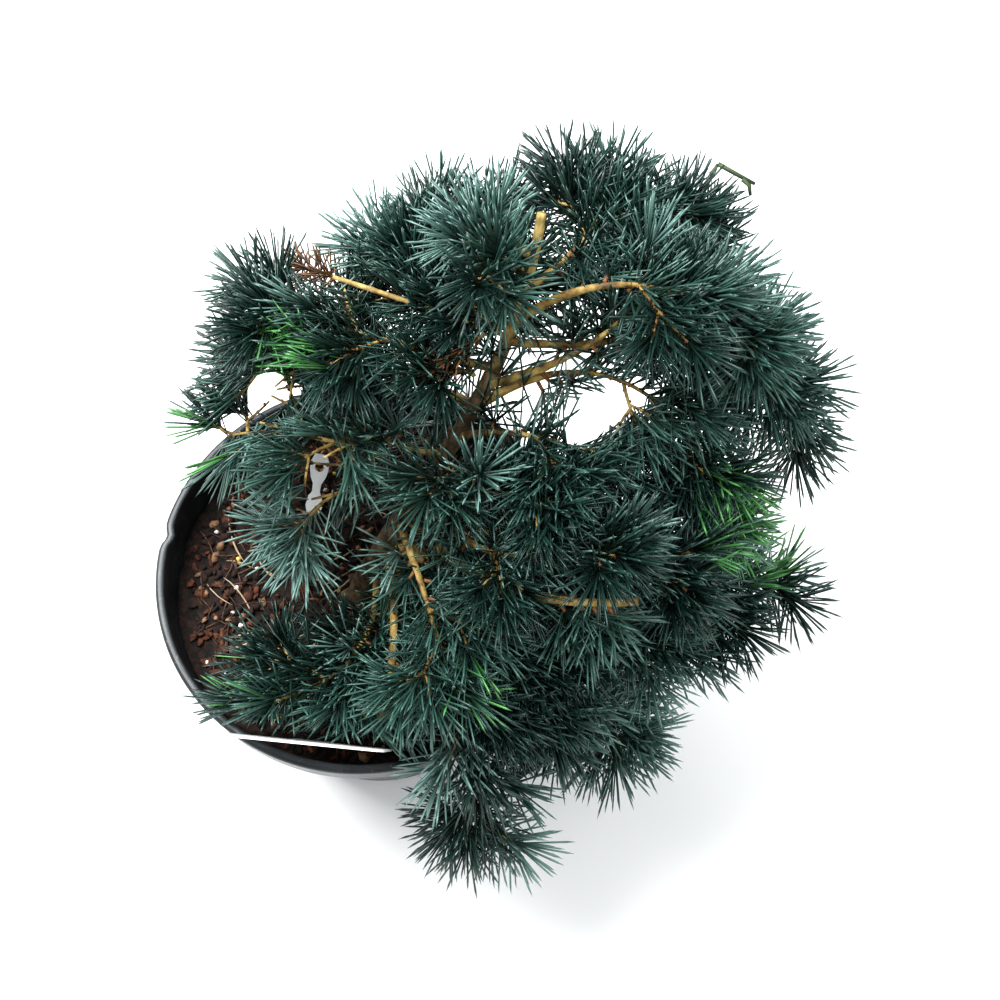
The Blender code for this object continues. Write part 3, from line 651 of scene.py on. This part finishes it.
def cross_card(starts, ends):
    """True for each straight line that goes through the card."""
    across = np.array([math.cos(CARD_HEADING), math.sin(CARD_HEADING), 0])
    back = np.array([across[1], -across[0], 0])
    rise = UP * math.cos(CARD_LEAN) + back * math.sin(CARD_LEAN)
    facing = np.cross(across, rise)
    before, after = (starts - CARD_FOOT) @ facing, (ends - CARD_FOOT) @ facing
    share = before / np.where(np.abs(before - after) < 1e-9, 1e-9, before - after)
    through = starts + (ends - starts) * np.clip(share, 0, 1)[..., None] - CARD_FOOT
    beside, above = through @ across, through @ rise
    within = (beside > -CARD_LEFT) & (beside < CARD_RIGHT) & (above < CARD_HEIGHT)
    return (before * after < 0) & within


def off_pot(points, clearance):
    """True for each point outside the pot's wall and above the compost."""
    radius = np.hypot(points[..., 0], points[..., 1])
    above_rim = points[..., 2] > POT_HEIGHT + clearance
    inside = radius < POT_RIM_RADIUS - RIM_STEP - LIP_WIDTH - clearance
    over_compost = points[..., 2] > COMPOST_TOP + COMPOST_RELIEF + clearance
    return above_rim | (inside & over_compost) | (radius > POT_RIM_RADIUS + clearance)


# Foliage


def needle_triangles(count):
    """Triangles of count needles, each of three points at its foot, three at its shoulder and its tip."""
    one = [(0, 2, 1)]
    for k in range(3):
        n = (k + 1) % 3
        one += [(k, n, 3 + n), (k, 3 + n, 3 + k), (3 + k, 3 + n, 6)]
    return (np.array(one)[None] + NEEDLE_POINTS * np.arange(count)[:, None, None]).reshape(-1, 3)


def needle_points(roots, directions, lengths, bends, widths):
    helper = np.where(np.abs(directions[:, 2:]) > 0.9, [[1.0, 0, 0]], [[0, 0, 1.0]])
    side = unit(np.cross(directions, helper))
    normal = np.cross(side, directions)
    turns = turns_of(3)
    corner = side[:, None] * np.cos(turns)[None, :, None] - normal[:, None] * np.sin(turns)[None, :, None]
    foot = roots[:, None] + corner * (NEEDLE_FOOT * widths)[:, None, None]
    shoulder = roots + directions * (NEEDLE_SHOULDER * lengths)[:, None] + bends * NEEDLE_SHOULDER**2
    shoulder = shoulder[:, None] + corner * widths[:, None, None]
    tip = roots + directions * lengths[:, None] + bends
    return np.concatenate([foot, shoulder, tip[:, None]], 1).reshape(-1, 3)


class Foliage:
    """All needles, by colour, with the twigs, spurs and bud scales that carry them."""

    def __init__(self):
        self.sprays = {name: [] for name in SPRAY_COLOURS}
        self.twigs = {"live": Pile(), "dead": Pile()}
        self.spurs = Pile()
        self.buds = Pile()
        self.clear = clearing_spots()
        self.rng = np.random.default_rng(27)

    def whorl(self, centre, frame, count, lean, spread, colour, node, size=1.0):
        """Needles around one place of a shoot, leaning ahead by about the given angle in degrees."""
        tangent, side, normal = frame
        rng = self.rng
        turns = 2 * np.pi * (np.arange(count) / count + rng.random())
        turns += rng.uniform(-WHORL_UNEVENNESS, WHORL_UNEVENNESS, count)
        leans = np.clip(math.radians(lean) + rng.normal(0, spread, count), *NEEDLE_LEANS)[:, None]
        outward = side * np.cos(turns)[:, None] + normal * np.sin(turns)[:, None]
        directions = unit(tangent * np.cos(leans) + outward * np.sin(leans) + UP * NEEDLE_LIFT)
        lengths = NEEDLE_LENGTH * size * rng.uniform(*NEEDLE_LENGTHS, count)
        apart = rng.uniform(-WHORL_DEPTH, WHORL_DEPTH, count)[:, None]
        roots = centre + tangent * apart * MM + outward * 0.4 * MM
        bends = tangent * (lengths * NEEDLE_SWEEP)[:, None] + rng.normal(0, NEEDLE_WAVER, (count, 3))
        keep = self.allowed(roots, directions, lengths, colour)
        widths = NEEDLE_WIDTH * rng.uniform(*NEEDLE_WIDTHS, count)
        fresh = self.fresh(roots + directions * (0.5 * lengths)[:, None], colour)
        for name, chosen in ((colour, keep & ~fresh), ("fresh", keep & fresh)):
            if chosen.any():
                needles = (roots, directions, lengths, bends, widths)
                self.sprays[name].append((node, *(values[chosen] for values in needles)))

    def allowed(self, roots, directions, lengths, colour):
        """True for each needle that keeps off the pot, the card and the clearings."""
        keep = np.ones(len(roots), bool)
        for share in (0.25, 0.5, 0.75, 1.0):
            places = roots + directions * (lengths * share)[:, None]
            keep &= off_pot(places, NEEDLE_CLEARANCE)
            if colour != "dead":
                keep &= ~covers(places, self.clear)
        return keep & ~cross_card(roots, roots + directions * (1.1 * lengths)[:, None])

    def fresh(self, middles, colour):
        """True for each needle that is young and green, by its middle."""
        chosen = np.zeros(len(middles), bool)
        if colour != "dead":
            for spot, reach, share in FRESH_SPOTS:
                aside = sight_distance(middles, np.array(spot) * MM)[0]
                chosen |= (aside < reach * MM) & (self.rng.random(len(middles)) < share)
        return chosen

    def shoot(self, points, radii, colour, node, bare=0.0, size=1.0, kind="live"):
        """A shoot with whorls of needles from its bare start to its tip."""
        self.twigs[kind].add(*tube(points, radii, TWIG_SIDES))
        frames = list(zip(*frames_along(points)))
        total = length_of(points)
        distance = bare
        while distance < total - TIP_BARE:
            centre, k = along(points, distance)
            lean = WHORL_LEAN - WHORL_LEAN_LOST * distance / total
            self.whorl(centre, frames[k], NEEDLES_A_WHORL, lean, WHORL_SPREAD, colour, node, size)
            self.bud(centre, frames[k])
            distance += WHORL_SPACING * self.rng.uniform(0.8, 1.2)
        self.whorl(points[-1], frames[-1], NEEDLES_AT_TIP, TIP_LEAN, TIP_SPREAD, colour, node, size)

    def spur(self, centre, outward, tangent, colour, node):
        """A short spur on old wood with a rosette of needles."""
        rng = self.rng
        direction = unit(outward + tangent * rng.uniform(0.1, 0.7))
        reached = np.array([0, 0.5, 1.0]) * SPUR_LENGTH * rng.uniform(*SPUR_LENGTHS)
        line = centre + direction * reached[:, None]
        self.spurs.add(*tube(line, SPUR_RADII, TWIG_SIDES))
        frame = [part[-1] for part in frames_along(line)]
        size = rng.uniform(*SPUR_NEEDLES)
        self.whorl(line[-1], frame, NEEDLES_A_SPUR, SPUR_LEAN, SPUR_SPREAD, colour, node, size)

    def bud(self, centre, frame):
        """Small scales where a whorl's needles stand."""
        _, side, normal = frame
        angle = self.rng.uniform(0, 2 * math.pi)
        outward = side * math.cos(angle) + normal * math.sin(angle)
        self.buds.add(*tube(centre + outward * BUD_PLACES[:, None], BUD_RADII, BUD_SIDES))

    def needle_pieces(self, surfaces):
        """The needles of each colour as pieces of limited size, each standing for its masses and limbs."""
        for colour, sprays in self.sprays.items():
            number, gathered, nodes, triangles = 1, Pile(), set(), 0
            for spray in sprays + [None]:
                more = 0 if spray is None else NEEDLE_TRIANGLES * len(spray[1])
                if triangles and (spray is None or triangles + more > PIECE_TRIANGLES):
                    piece = gathered.piece(f"needles_{colour}_{number}", surfaces[colour])
                    handed_in(piece, sorted(nodes))
                    number, gathered, nodes, triangles = number + 1, Pile(), set(), 0
                if spray is not None:
                    gathered.add(needle_points(*spray[1:]), needle_triangles(len(spray[1])))
                    nodes.add(spray[0])
                    triangles += more


def spray_colour(rng):
    """One of the colours that a whole spray takes, by their shares."""
    names = [name for name, row in SPRAY_COLOURS.items() if row[0] > 0]
    shares = np.array([SPRAY_COLOURS[name][0] for name in names])
    return str(rng.choice(names, p=shares / shares.sum()))


def twig_line(root, direction, length, droop, rng):
    """A shoot that bends down towards its tip and wavers a little."""
    share = np.linspace(0, 1, max(4, int(length / STEM_STEP) + 1))[:, None]
    waver = np.cross(direction, UP) * math.sin(rng.uniform(-3, 3)) * TWIG_WAVER * length
    return root + direction * length * share - UP * droop * share**2 + waver * np.sin(np.pi * share)


def grow_mass(foliage, name, sizes):
    """The stem of a mass with its twigs and finer twigs, all set with needles."""
    rng = foliage.rng
    node = "needles_" + name
    stem = limb_points(sizes, max(sizes[7], STEM_START), STEM_ENDS.get(name, 1.0), STEM_STEP)
    radii = np.linspace(TIP_THICKNESS / 2, TWIG_TIP_RADIUS, len(stem))
    if name in DEAD_LIMBS:
        foliage.shoot(stem, radii, "dead", node, DEAD_BARE, DEAD_NEEDLES, "dead")
        return
    foliage.shoot(stem, radii, spray_colour(rng), node, STEM_BARE)
    tangents, sides, normals = frames_along(stem)
    total = length_of(stem)
    position, turn = FIRST_TWIG, int(rng.integers(2))
    while position < total - LAST_TWIG:
        root, k = along(stem, position)
        roll = math.radians(TWIG_ROLLS[turn % 3] + rng.uniform(-TWIG_ROLL_SPREAD, TWIG_ROLL_SPREAD))
        outward = sides[k] * math.cos(roll) + normals[k] * math.sin(roll)
        direction = unit(tangents[k] * math.cos(TWIG_ANGLE) + outward * math.sin(TWIG_ANGLE))
        length = TWIG_LENGTH * (1 - TWIG_TAPER * position / total) * rng.uniform(*TWIG_LENGTHS)
        if turn % 3 == 2:
            length *= TOP_TWIG_SHARE
        turn += 1
        position += TWIG_SPACING * rng.uniform(0.85, 1.15)
        line = twig_line(root, direction, length, TWIG_DROOP * length / TWIG_LENGTH, rng)
        blocked = not off_pot(line[2:], TWIG_CLEARANCE).all() or cross_card(line[:-1], line[1:]).any()
        if length < TWIG_SHORTEST or blocked:
            continue
        colour = spray_colour(rng)
        radii = np.linspace(TWIG_RADIUS, TWIG_TIP_RADIUS, len(line))
        foliage.shoot(line, radii, colour, node, TWIG_BARE)
        if length > FINE_FROM:
            grow_fine(foliage, node, line, length, colour)


def grow_fine(foliage, node, line, length, colour):
    """A finer twig to each side of a twig."""
    rng = foliage.rng
    tangents, sides, normals = frames_along(line)
    for hand in (-1, 1):
        root, k = along(line, length * rng.uniform(*FINE_PLACES))
        outward = sides[k] * hand + normals[k] * rng.uniform(-0.3, 0.5)
        direction = unit(tangents[k] + unit(outward) * 1.1)
        fine = twig_line(root, direction, FINE_LENGTH * rng.uniform(*FINE_LENGTHS), FINE_DROOP, rng)
        if off_pot(fine, TWIG_CLEARANCE).all():
            radii = np.linspace(0.8 * TWIG_RADIUS, TWIG_TIP_RADIUS, len(fine))
            foliage.shoot(fine, radii, colour, node, FINE_BARE, FINE_NEEDLES)


def grow_spurs(foliage, line, node, thickness, rolls):
    """Spurs with rosettes along the bare wood of a limb, at rolls between two angles in degrees."""
    rng = foliage.rng
    tangents, sides, normals = frames_along(line)
    total = length_of(line)
    position = SPUR_SPACING * rng.uniform(0.3, 1.0)
    while position < total:
        centre, k = along(line, position)
        roll = math.radians(rng.uniform(*rolls))
        outward = sides[k] * math.cos(roll) + normals[k] * math.sin(roll)
        if off_pot((centre + outward * SPUR_REACH)[None], 2 * MM).all():
            root = centre + outward * thickness * 0.4
            foliage.spur(root, outward, tangents[k], spray_colour(rng), node)
        position += SPUR_SPACING * rng.uniform(0.7, 1.4)


def grow_all_spurs(foliage):
    """Spurs on every bough but the dead one, under the pruned limbs and all around the trunk."""
    for name in live_boughs():
        sizes = LIMBS[name]
        line = limb_points(sizes, 0.12, sizes[7], 3 * MM)
        grow_spurs(foliage, line, "bough_" + name, sizes[6] * MM, BOUGH_ROLLS)
    for name, sizes in PRUNED.items():
        line = limb_points(sizes, 0.15, 0.92, 3 * MM)
        grow_spurs(foliage, line, name, sizes[6] * MM, PRUNED_ROLLS)
    trunk = trunk_point(np.linspace(0.25, 0.93, 40))
    grow_spurs(foliage, trunk, "trunk", 2 * TRUNK_TIP_RADIUS, TRUNK_ROLLS)


def grow_dry_sprays(foliage):
    """The caught dead twigs, each a quadratic curve with a few brown needles."""
    share = np.linspace(0, 1, DRY_PLACES)[:, None]
    radii = np.linspace(0.8, 0.4, DRY_PLACES) * MM
    for handles in DRY_SPRAYS:
        start, middle, end = np.array(handles) * MM
        line = start * (1 - share) ** 2 + 2 * middle * share * (1 - share) + end * share**2
        foliage.twigs["dead"].add(*tube(line, radii, TWIG_SIDES))
        frames = list(zip(*frames_along(line)))
        for centre, frame in list(zip(line, frames))[1:]:
            needles = (NEEDLES_A_DRY_WHORL, DRY_LEAN, DRY_SPREAD, "dead", "needles_dead_left")
            foliage.whorl(centre, frame, *needles, DRY_NEEDLES)


def live_boughs():
    return [name for name, sizes in LIMBS.items() if sizes[7] > 0 and name not in DEAD_LIMBS]


# Bark


def bark_radii(points, radii, sides, seed, relief):
    """Ring radii with long ridges and small cushions."""
    ridge, cushion = relief
    reached = np.concatenate([[0], np.cumsum(np.linalg.norm(np.diff(points, axis=0), axis=1))])
    out = np.empty((len(points), sides))
    for i, distance in enumerate(reached):
        for k in range(sides):
            turn = 2 * math.pi * k / sides
            around = Vector((math.cos(turn), math.sin(turn), 0))
            ridges = noise.noise(around * 2.2 + Vector((seed, 0, distance / RIDGE_LENGTH)))
            cushions = noise.noise(around * 3.0 + Vector((0, seed, distance / CUSHION_LENGTH)))
            out[i, k] = radii[i] * (1 + ridge * ridges + cushion * cushions)
    return out


def make_trunk(finish):
    shares = np.linspace(0, 1, TRUNK_ROWS)
    points = trunk_point(shares)
    rings = bark_radii(points, trunk_radius(shares), TRUNK_SIDES, 5.0, TRUNK_RELIEF)
    heights = points[:, 2] - TRUNK_FOOT[2]
    flare = FLARE_RADIUS * np.clip(1 - heights / FLARE_HEIGHT, 0, 1) ** 2
    rings += flare[:, None] * (0.6 + 0.4 * np.cos(FLARE_LOBES * turns_of(TRUNK_SIDES)))[None]
    trunk = Pile()
    vertices, triangles = tube(points, rings, TRUNK_SIDES)
    vertices[:, 2] = np.maximum(vertices[:, 2], COMPOST_TOP - 1 * MM)
    trunk.add(vertices, triangles)
    handed_in(trunk.piece("trunk_bark", finish), ["trunk"])


def make_limbs(young, dry, green):
    """The bark of all limbs, with the stub beside the leader and the broken shoot."""
    live, dead, broken = Pile(), Pile(), Pile()
    live.add(*tube(np.array(LEADER_STUB) * MM, LEADER_STUB_RADII, LEADER_STUB_SIDES))
    for places in BROKEN_SHOOTS:
        broken.add(*tube(np.array(places) * MM, BROKEN_RADII, BROKEN_SIDES))
    handed_in(broken.piece("broken_shoot", green), ["needles_back_far_right"])
    rows = [(name, sizes, sizes[7], TIP_THICKNESS) for name, sizes in LIMBS.items() if sizes[7] > 0]
    rows += [(name, sizes, 1.0, PRUNED_THICKNESS) for name, sizes in PRUNED.items()]
    for seed, (name, sizes, end, tip) in enumerate(rows):
        points = limb_points(sizes, 0, end, LIMB_STEP)
        radii = np.linspace(sizes[6] * MM / 2, tip / 2, len(points))
        rings = bark_radii(points, radii, LIMB_SIDES, 3.7 * seed, LIMB_RELIEF)
        (dead if name in DEAD_LIMBS else live).add(*tube(points, rings, LIMB_SIDES))
    live_nodes = ["bough_" + name for name in live_boughs()] + list(PRUNED)
    handed_in(live.piece("bough_bark", young), live_nodes)
    dead_nodes = ["bough_" + name for name in DEAD_LIMBS]
    handed_in(dead.piece("dead_bough_bark", dry), dead_nodes)


# Pot


def arc(radius, height, rounding, angles):
    """Places of a section on an arc around a radius and height."""
    return [(radius + rounding * math.cos(a), height + rounding * math.sin(a)) for a in angles]


def pot_section():
    """Radius and height of the pot's outline, from the middle of its underside round to its floor."""
    band_foot = POT_HEIGHT - RIM_BAND_HEIGHT
    shoulder = POT_RIM_RADIUS - RIM_STEP
    inner = POT_RIM_RADIUS - LIP_WIDTH
    foot = POT_BASE_RADIUS - POT_FOOT_ROUNDING
    section = [(POT_CENTRE, 0), (POT_MID_FLOOR, 0), (foot, 0)]
    angles = [a - math.pi / 2 for a in (0.5, 1.0, 1.5)]
    section += arc(foot, POT_FOOT_ROUNDING, POT_FOOT_ROUNDING, angles)
    for share in np.linspace(0.05, 1, POT_WALL_ROWS):
        section.append((POT_BASE_RADIUS + (shoulder - POT_BASE_RADIUS) * share, band_foot * share))
    section += [(POT_RIM_RADIUS - inside * MM, band_foot + over * MM) for inside, over in BAND_SECTION]
    section.append((POT_RIM_RADIUS - 0.7 * MM, POT_HEIGHT - LIP_DEPTH))
    round_out, round_in = LIP_OUTER_ROUNDING, LIP_INNER_ROUNDING
    angles = np.linspace(-0.3, math.pi * 0.5, 8)
    section += arc(POT_RIM_RADIUS - round_out, POT_HEIGHT - round_out, round_out, angles)
    angles = np.linspace(math.pi * 0.5, math.pi, 5)[1:]
    section += arc(inner + round_in, POT_HEIGHT - round_in, round_in, angles)
    section.append((inner - 0.4 * MM, POT_HEIGHT - LIP_DEPTH))
    section.append((shoulder - POT_WALL + 0.6 * MM, band_foot + 1.5 * MM))
    for height in np.linspace(band_foot, POT_FLOOR + 1 * MM, POT_INNER_ROWS):
        section.append((inner_wall(height), height))
    section.append((POT_BASE_RADIUS - POT_WALL - 1.5 * MM, POT_FLOOR))
    return np.array(section + [(POT_MID_FLOOR, POT_FLOOR), (POT_CENTRE, POT_FLOOR)])


def make_pot(finish):
    """The pot turned from its section, with the notch in its lip and the drain holes."""
    section = pot_section()
    turns = turns_of(POT_SIDES)
    off = (turns - NOTCH_ANGLE + np.pi) % (2 * np.pi) - np.pi
    notch = NOTCH_DEPTH * np.exp(-((off / NOTCH_WIDTH) ** 2))
    at_lip = np.clip((section[:, 1] - (POT_HEIGHT - NOTCH_FOOT)) / LIP_DEPTH, 0, 1)
    radii = section[:, :1] - notch[None] * at_lip[:, None]
    pot = Pile()
    pot.add(*closed_rings(level_ring(radii, turns, section[:, 1:]), (0, 0, 0), (0, 0, POT_FLOOR)))
    made = pot.piece("nursery_pot", finish)
    for number in range(DRAIN_HOLES):
        turn = 2 * math.pi * (number + DRAIN_TURN) / DRAIN_HOLES
        drill(made, (DRAIN_CIRCLE * math.cos(turn), DRAIN_CIRCLE * math.sin(turn), POT_FLOOR / 2))
    made.data.set_sharp_from_angle(angle=SHARP_ANGLE)
    handed_in(made, ["pot"])


def drill(target, centre):
    """Cuts a drain hole through a piece and applies the cut."""
    hole = bmesh.new()
    bmesh.ops.create_cone(
        hole, cap_ends=True, segments=40, radius1=DRAIN_RADIUS, radius2=DRAIN_RADIUS, depth=12 * MM
    )
    mesh = bpy.data.meshes.new("hole")
    hole.to_mesh(mesh)
    hole.free()
    cutter = bpy.data.objects.new("hole", mesh)
    cutter.location = centre
    bpy.context.scene.collection.objects.link(cutter)
    boolean = target.modifiers.new("drill", "BOOLEAN")
    boolean.operation, boolean.object, boolean.solver = "DIFFERENCE", cutter, "EXACT"
    bpy.context.view_layer.update()
    evaluated = target.evaluated_get(bpy.context.evaluated_depsgraph_get())
    cut_mesh = bpy.data.meshes.new_from_object(evaluated)
    target.modifiers.clear()
    target.data = cut_mesh
    bpy.data.objects.remove(cutter)


# Compost


def compost_height(x, y):
    """The height of the compost's uneven top."""
    place = Vector((x, y, 0)) / MM
    low = noise.noise(place / 22) + 0.55 * noise.noise(place / 8 + Vector((7, 3, 1)))
    fine = 0.30 * noise.noise(place / 3 + Vector((2, 9, 4)))
    near_trunk = math.hypot(x - TRUNK_FOOT[0], y - TRUNK_FOOT[1]) / (20 * MM)
    return COMPOST_TOP + COMPOST_RELIEF * (low + fine) * min(1.0, 0.35 + 0.65 * near_trunk)


def make_compost():
    """A plug that fills the pot, with all that lies on it."""
    edge = inner_wall(COMPOST_TOP) - COMPOST_GAP
    low_edge = inner_wall(POT_FLOOR) - COMPOST_GAP
    floor = POT_FLOOR + COMPOST_GAP
    turns = turns_of(COMPOST_SIDES)
    rings = [level_ring(low_edge * 0.5, turns, floor), level_ring(low_edge, turns, floor)]
    rings.append(level_ring(edge, turns, COMPOST_TOP - 4 * MM))
    for k in range(COMPOST_RINGS, 0, -1):
        ring = level_ring(edge * k / COMPOST_RINGS, turns, 0)
        ring[:, 2] = [compost_height(x, y) for x, y in ring[:, :2]]
        rings.append(ring)
    body = Pile()
    body.add(*closed_rings(np.array(rings), (0, 0, floor), (0, 0, compost_height(0, 0))))
    handed_in(body.piece("compost_body", finish_of("compost")), ["compost"])

    rng = np.random.default_rng(8)
    for name, (finish, number) in CHIPS.items():
        pile = Pile()
        for _ in range(number):
            x, y = compost_place(rng, edge - CHIP_MARGIN)
            length = rng.uniform(*CHIP_LENGTHS) * MM
            pile.add(*shard((x, y, compost_height(x, y) + 0.8 * MM), length, rng))
        handed_in(pile.piece(name, finish_of(finish), smooth=False), ["compost"])
    for name, (finish, number, margin, lengths, radii) in FIBRES.items():
        pile = Pile()
        for _ in range(number):
            x, y = compost_place(rng, edge - margin * MM)
            pile.add(*fibre(x, y, rng.uniform(*lengths) * MM, rng.uniform(*radii) * MM, rng))
        handed_in(pile.piece(name, finish_of(finish)), ["compost"])
    for name, (finish, number, size, rough) in GRAINS.items():
        pile = Pile()
        for _ in range(number):
            x, y = compost_place(rng, edge - GRAIN_MARGIN)
            radius = size * MM * rng.uniform(*GRAIN_SIZES)
            pile.add(*grain((x, y, compost_height(x, y) + radius * 0.6), radius, rough, rng))
        handed_in(pile.piece(name, finish_of(finish)), ["compost"])


def compost_place(rng, reach):
    radius, turn = reach * math.sqrt(rng.random()), rng.uniform(0, 2 * math.pi)
    return radius * math.cos(turn), radius * math.sin(turn)


def shard(centre, length, rng):
    """A flat splinter of bark: two uneven outlines with a ragged rim, turned and tilted a little."""
    sides = int(rng.integers(5, 8))
    turns = 2 * np.pi * (np.arange(sides) + rng.uniform(-0.25, 0.25, sides)) / sides
    width = length * rng.uniform(*CHIP_WIDTHS)
    thick = rng.uniform(*CHIP_THICKNESSES) * MM
    reach = rng.uniform(0.75, 1.1, (2, sides))
    rings = []
    for row, height in enumerate((-0.5, 0.5)):
        x = length / 2 * np.cos(turns) * reach[row]
        y = width / 2 * np.sin(turns) * reach[row]
        rings.append(np.stack([x, y, (height + rng.uniform(-0.2, 0.2, sides)) * thick], -1))
    points, triangles = closed_rings(np.array(rings), (0, 0, -0.5 * thick), (0, 0, 0.6 * thick))
    turn = rng.uniform(0, 2 * math.pi)
    lift, roll = rng.uniform(-CHIP_TILT, CHIP_TILT), rng.uniform(-CHIP_TILT, CHIP_TILT)
    points = turned(turned(turned(points, 0, roll), 1, lift), 2, turn)
    return points + np.array(centre), triangles


def fibre(x, y, length, radius, rng):
    """A thin curved fibre lying on the compost."""
    share = np.linspace(-0.5, 0.5, FIBRE_PLACES)
    turn, curl = rng.uniform(0, 2 * math.pi), rng.uniform(-0.3, 0.3)
    line = np.stack([length * share, length * curl * (0.25 - share**2), 0 * share], -1)
    line = turned(line, 2, turn) + np.array([x, y, 0])
    line[:, 2] = [compost_height(a, b) + radius + rng.uniform(0.3, 1.6) * MM for a, b in line[:, :2]]
    return tube(line, radius * (1 - 0.7 * np.abs(share * 2) ** 3), FIBRE_SIDES)


def grain(centre, radius, rough, rng):
    """A round grain with a rough surface."""
    ball = bmesh.new()
    bmesh.ops.create_icosphere(ball, subdivisions=2, radius=radius)
    points = np.array([v.co for v in ball.verts])
    triangles = np.array([[v.index for v in f.verts] for f in ball.faces])
    ball.free()
    points *= 1 + rng.uniform(-rough, rough, (len(points), 1))
    return points * (1, rng.uniform(0.85, 1), rng.uniform(0.8, 1)) + np.array(centre), triangles


# Card and tag


def make_plates(finish):
    """The card and the tag keep their places and shapes and take the plain white plastic."""
    for name in ("label_card", "loop_tag"):
        node = frame["nodes"][name]
        node.data.materials.clear()
        node.data.materials.append(finish)


# Stage


def make_stage():
    """A pale floor, the camera of the picture, two soft lamps and an even sky."""
    reach = FLOOR_REACH
    floor = Pile()
    corners = [(-reach, -reach, 0), (reach, -reach, 0), (reach, reach, 0), (-reach, reach, 0)]
    floor.add(corners, [(0, 1, 2), (0, 2, 3)])
    made = floor.piece("floor", finish_of("pale_floor"), smooth=False)

    camera = bpy.data.objects.new("camera", bpy.data.cameras.new("camera"))
    bpy.context.scene.collection.objects.link(camera)
    camera.location = CAMERA_PLACE
    camera.rotation_euler = (math.pi / 2 - CAMERA_ELEVATION, 0, 0)
    camera.data.lens = CAMERA_LENS
    camera.data.sensor_width = CAMERA_SENSOR
    camera.data.clip_start = 0.02
    bpy.context.scene.camera = camera

    for name, (place, size, watts) in LAMPS.items():
        light = bpy.data.lights.new(name, "AREA")
        light.size, light.energy = size, watts
        lamp = bpy.data.objects.new(name, light)
        lamp.location = place
        lamp.rotation_euler = (CAMERA_TARGET - Vector(place)).to_track_quat("-Z", "Y").to_euler()
        bpy.context.scene.collection.objects.link(lamp)
    world = bpy.data.worlds.new("soft_light")
    world.use_nodes = True
    world.node_tree.nodes["Background"].inputs["Color"].default_value = SKY_COLOUR
    world.node_tree.nodes["Background"].inputs["Strength"].default_value = SKY_STRENGTH
    bpy.context.scene.world = world
    bpy.context.scene.view_settings.view_transform = "Standard"
    bpy.context.scene.view_settings.look = "Medium High Contrast"


def main():
    make_stage()
    foliage = Foliage()
    for name, sizes in LIMBS.items():
        grow_mass(foliage, name, sizes)
    grow_all_spurs(foliage)
    grow_dry_sprays(foliage)
    foliage.needle_pieces({name: needle_surface(name) for name in SPRAY_COLOURS})

    masses = ["needles_" + name for name in LIMBS if name not in DEAD_LIMBS]
    dead_masses = ["needles_" + name for name in DEAD_LIMBS]
    boughs = ["bough_" + name for name in live_boughs()]
    young, dry, scales = (finish_of(name) for name in ("young_bark", "dry_bark", "bud_scales"))
    handed_in(foliage.twigs["live"].piece("twigs", young), masses)
    handed_in(foliage.twigs["dead"].piece("dead_twig", dry), dead_masses)
    handed_in(foliage.buds.piece("bud_scales", scales), masses)
    handed_in(foliage.spurs.piece("spurs", scales), boughs + list(PRUNED) + ["trunk"])
    make_trunk(finish_of("old_bark", fade=YOUNG_WOOD))
    make_limbs(young, dry, finish_of("green_wood"))
    make_pot(finish_of("pot_plastic", dust=POT_DUST))
    make_compost()
    make_plates(finish_of("white_plastic"))


main()
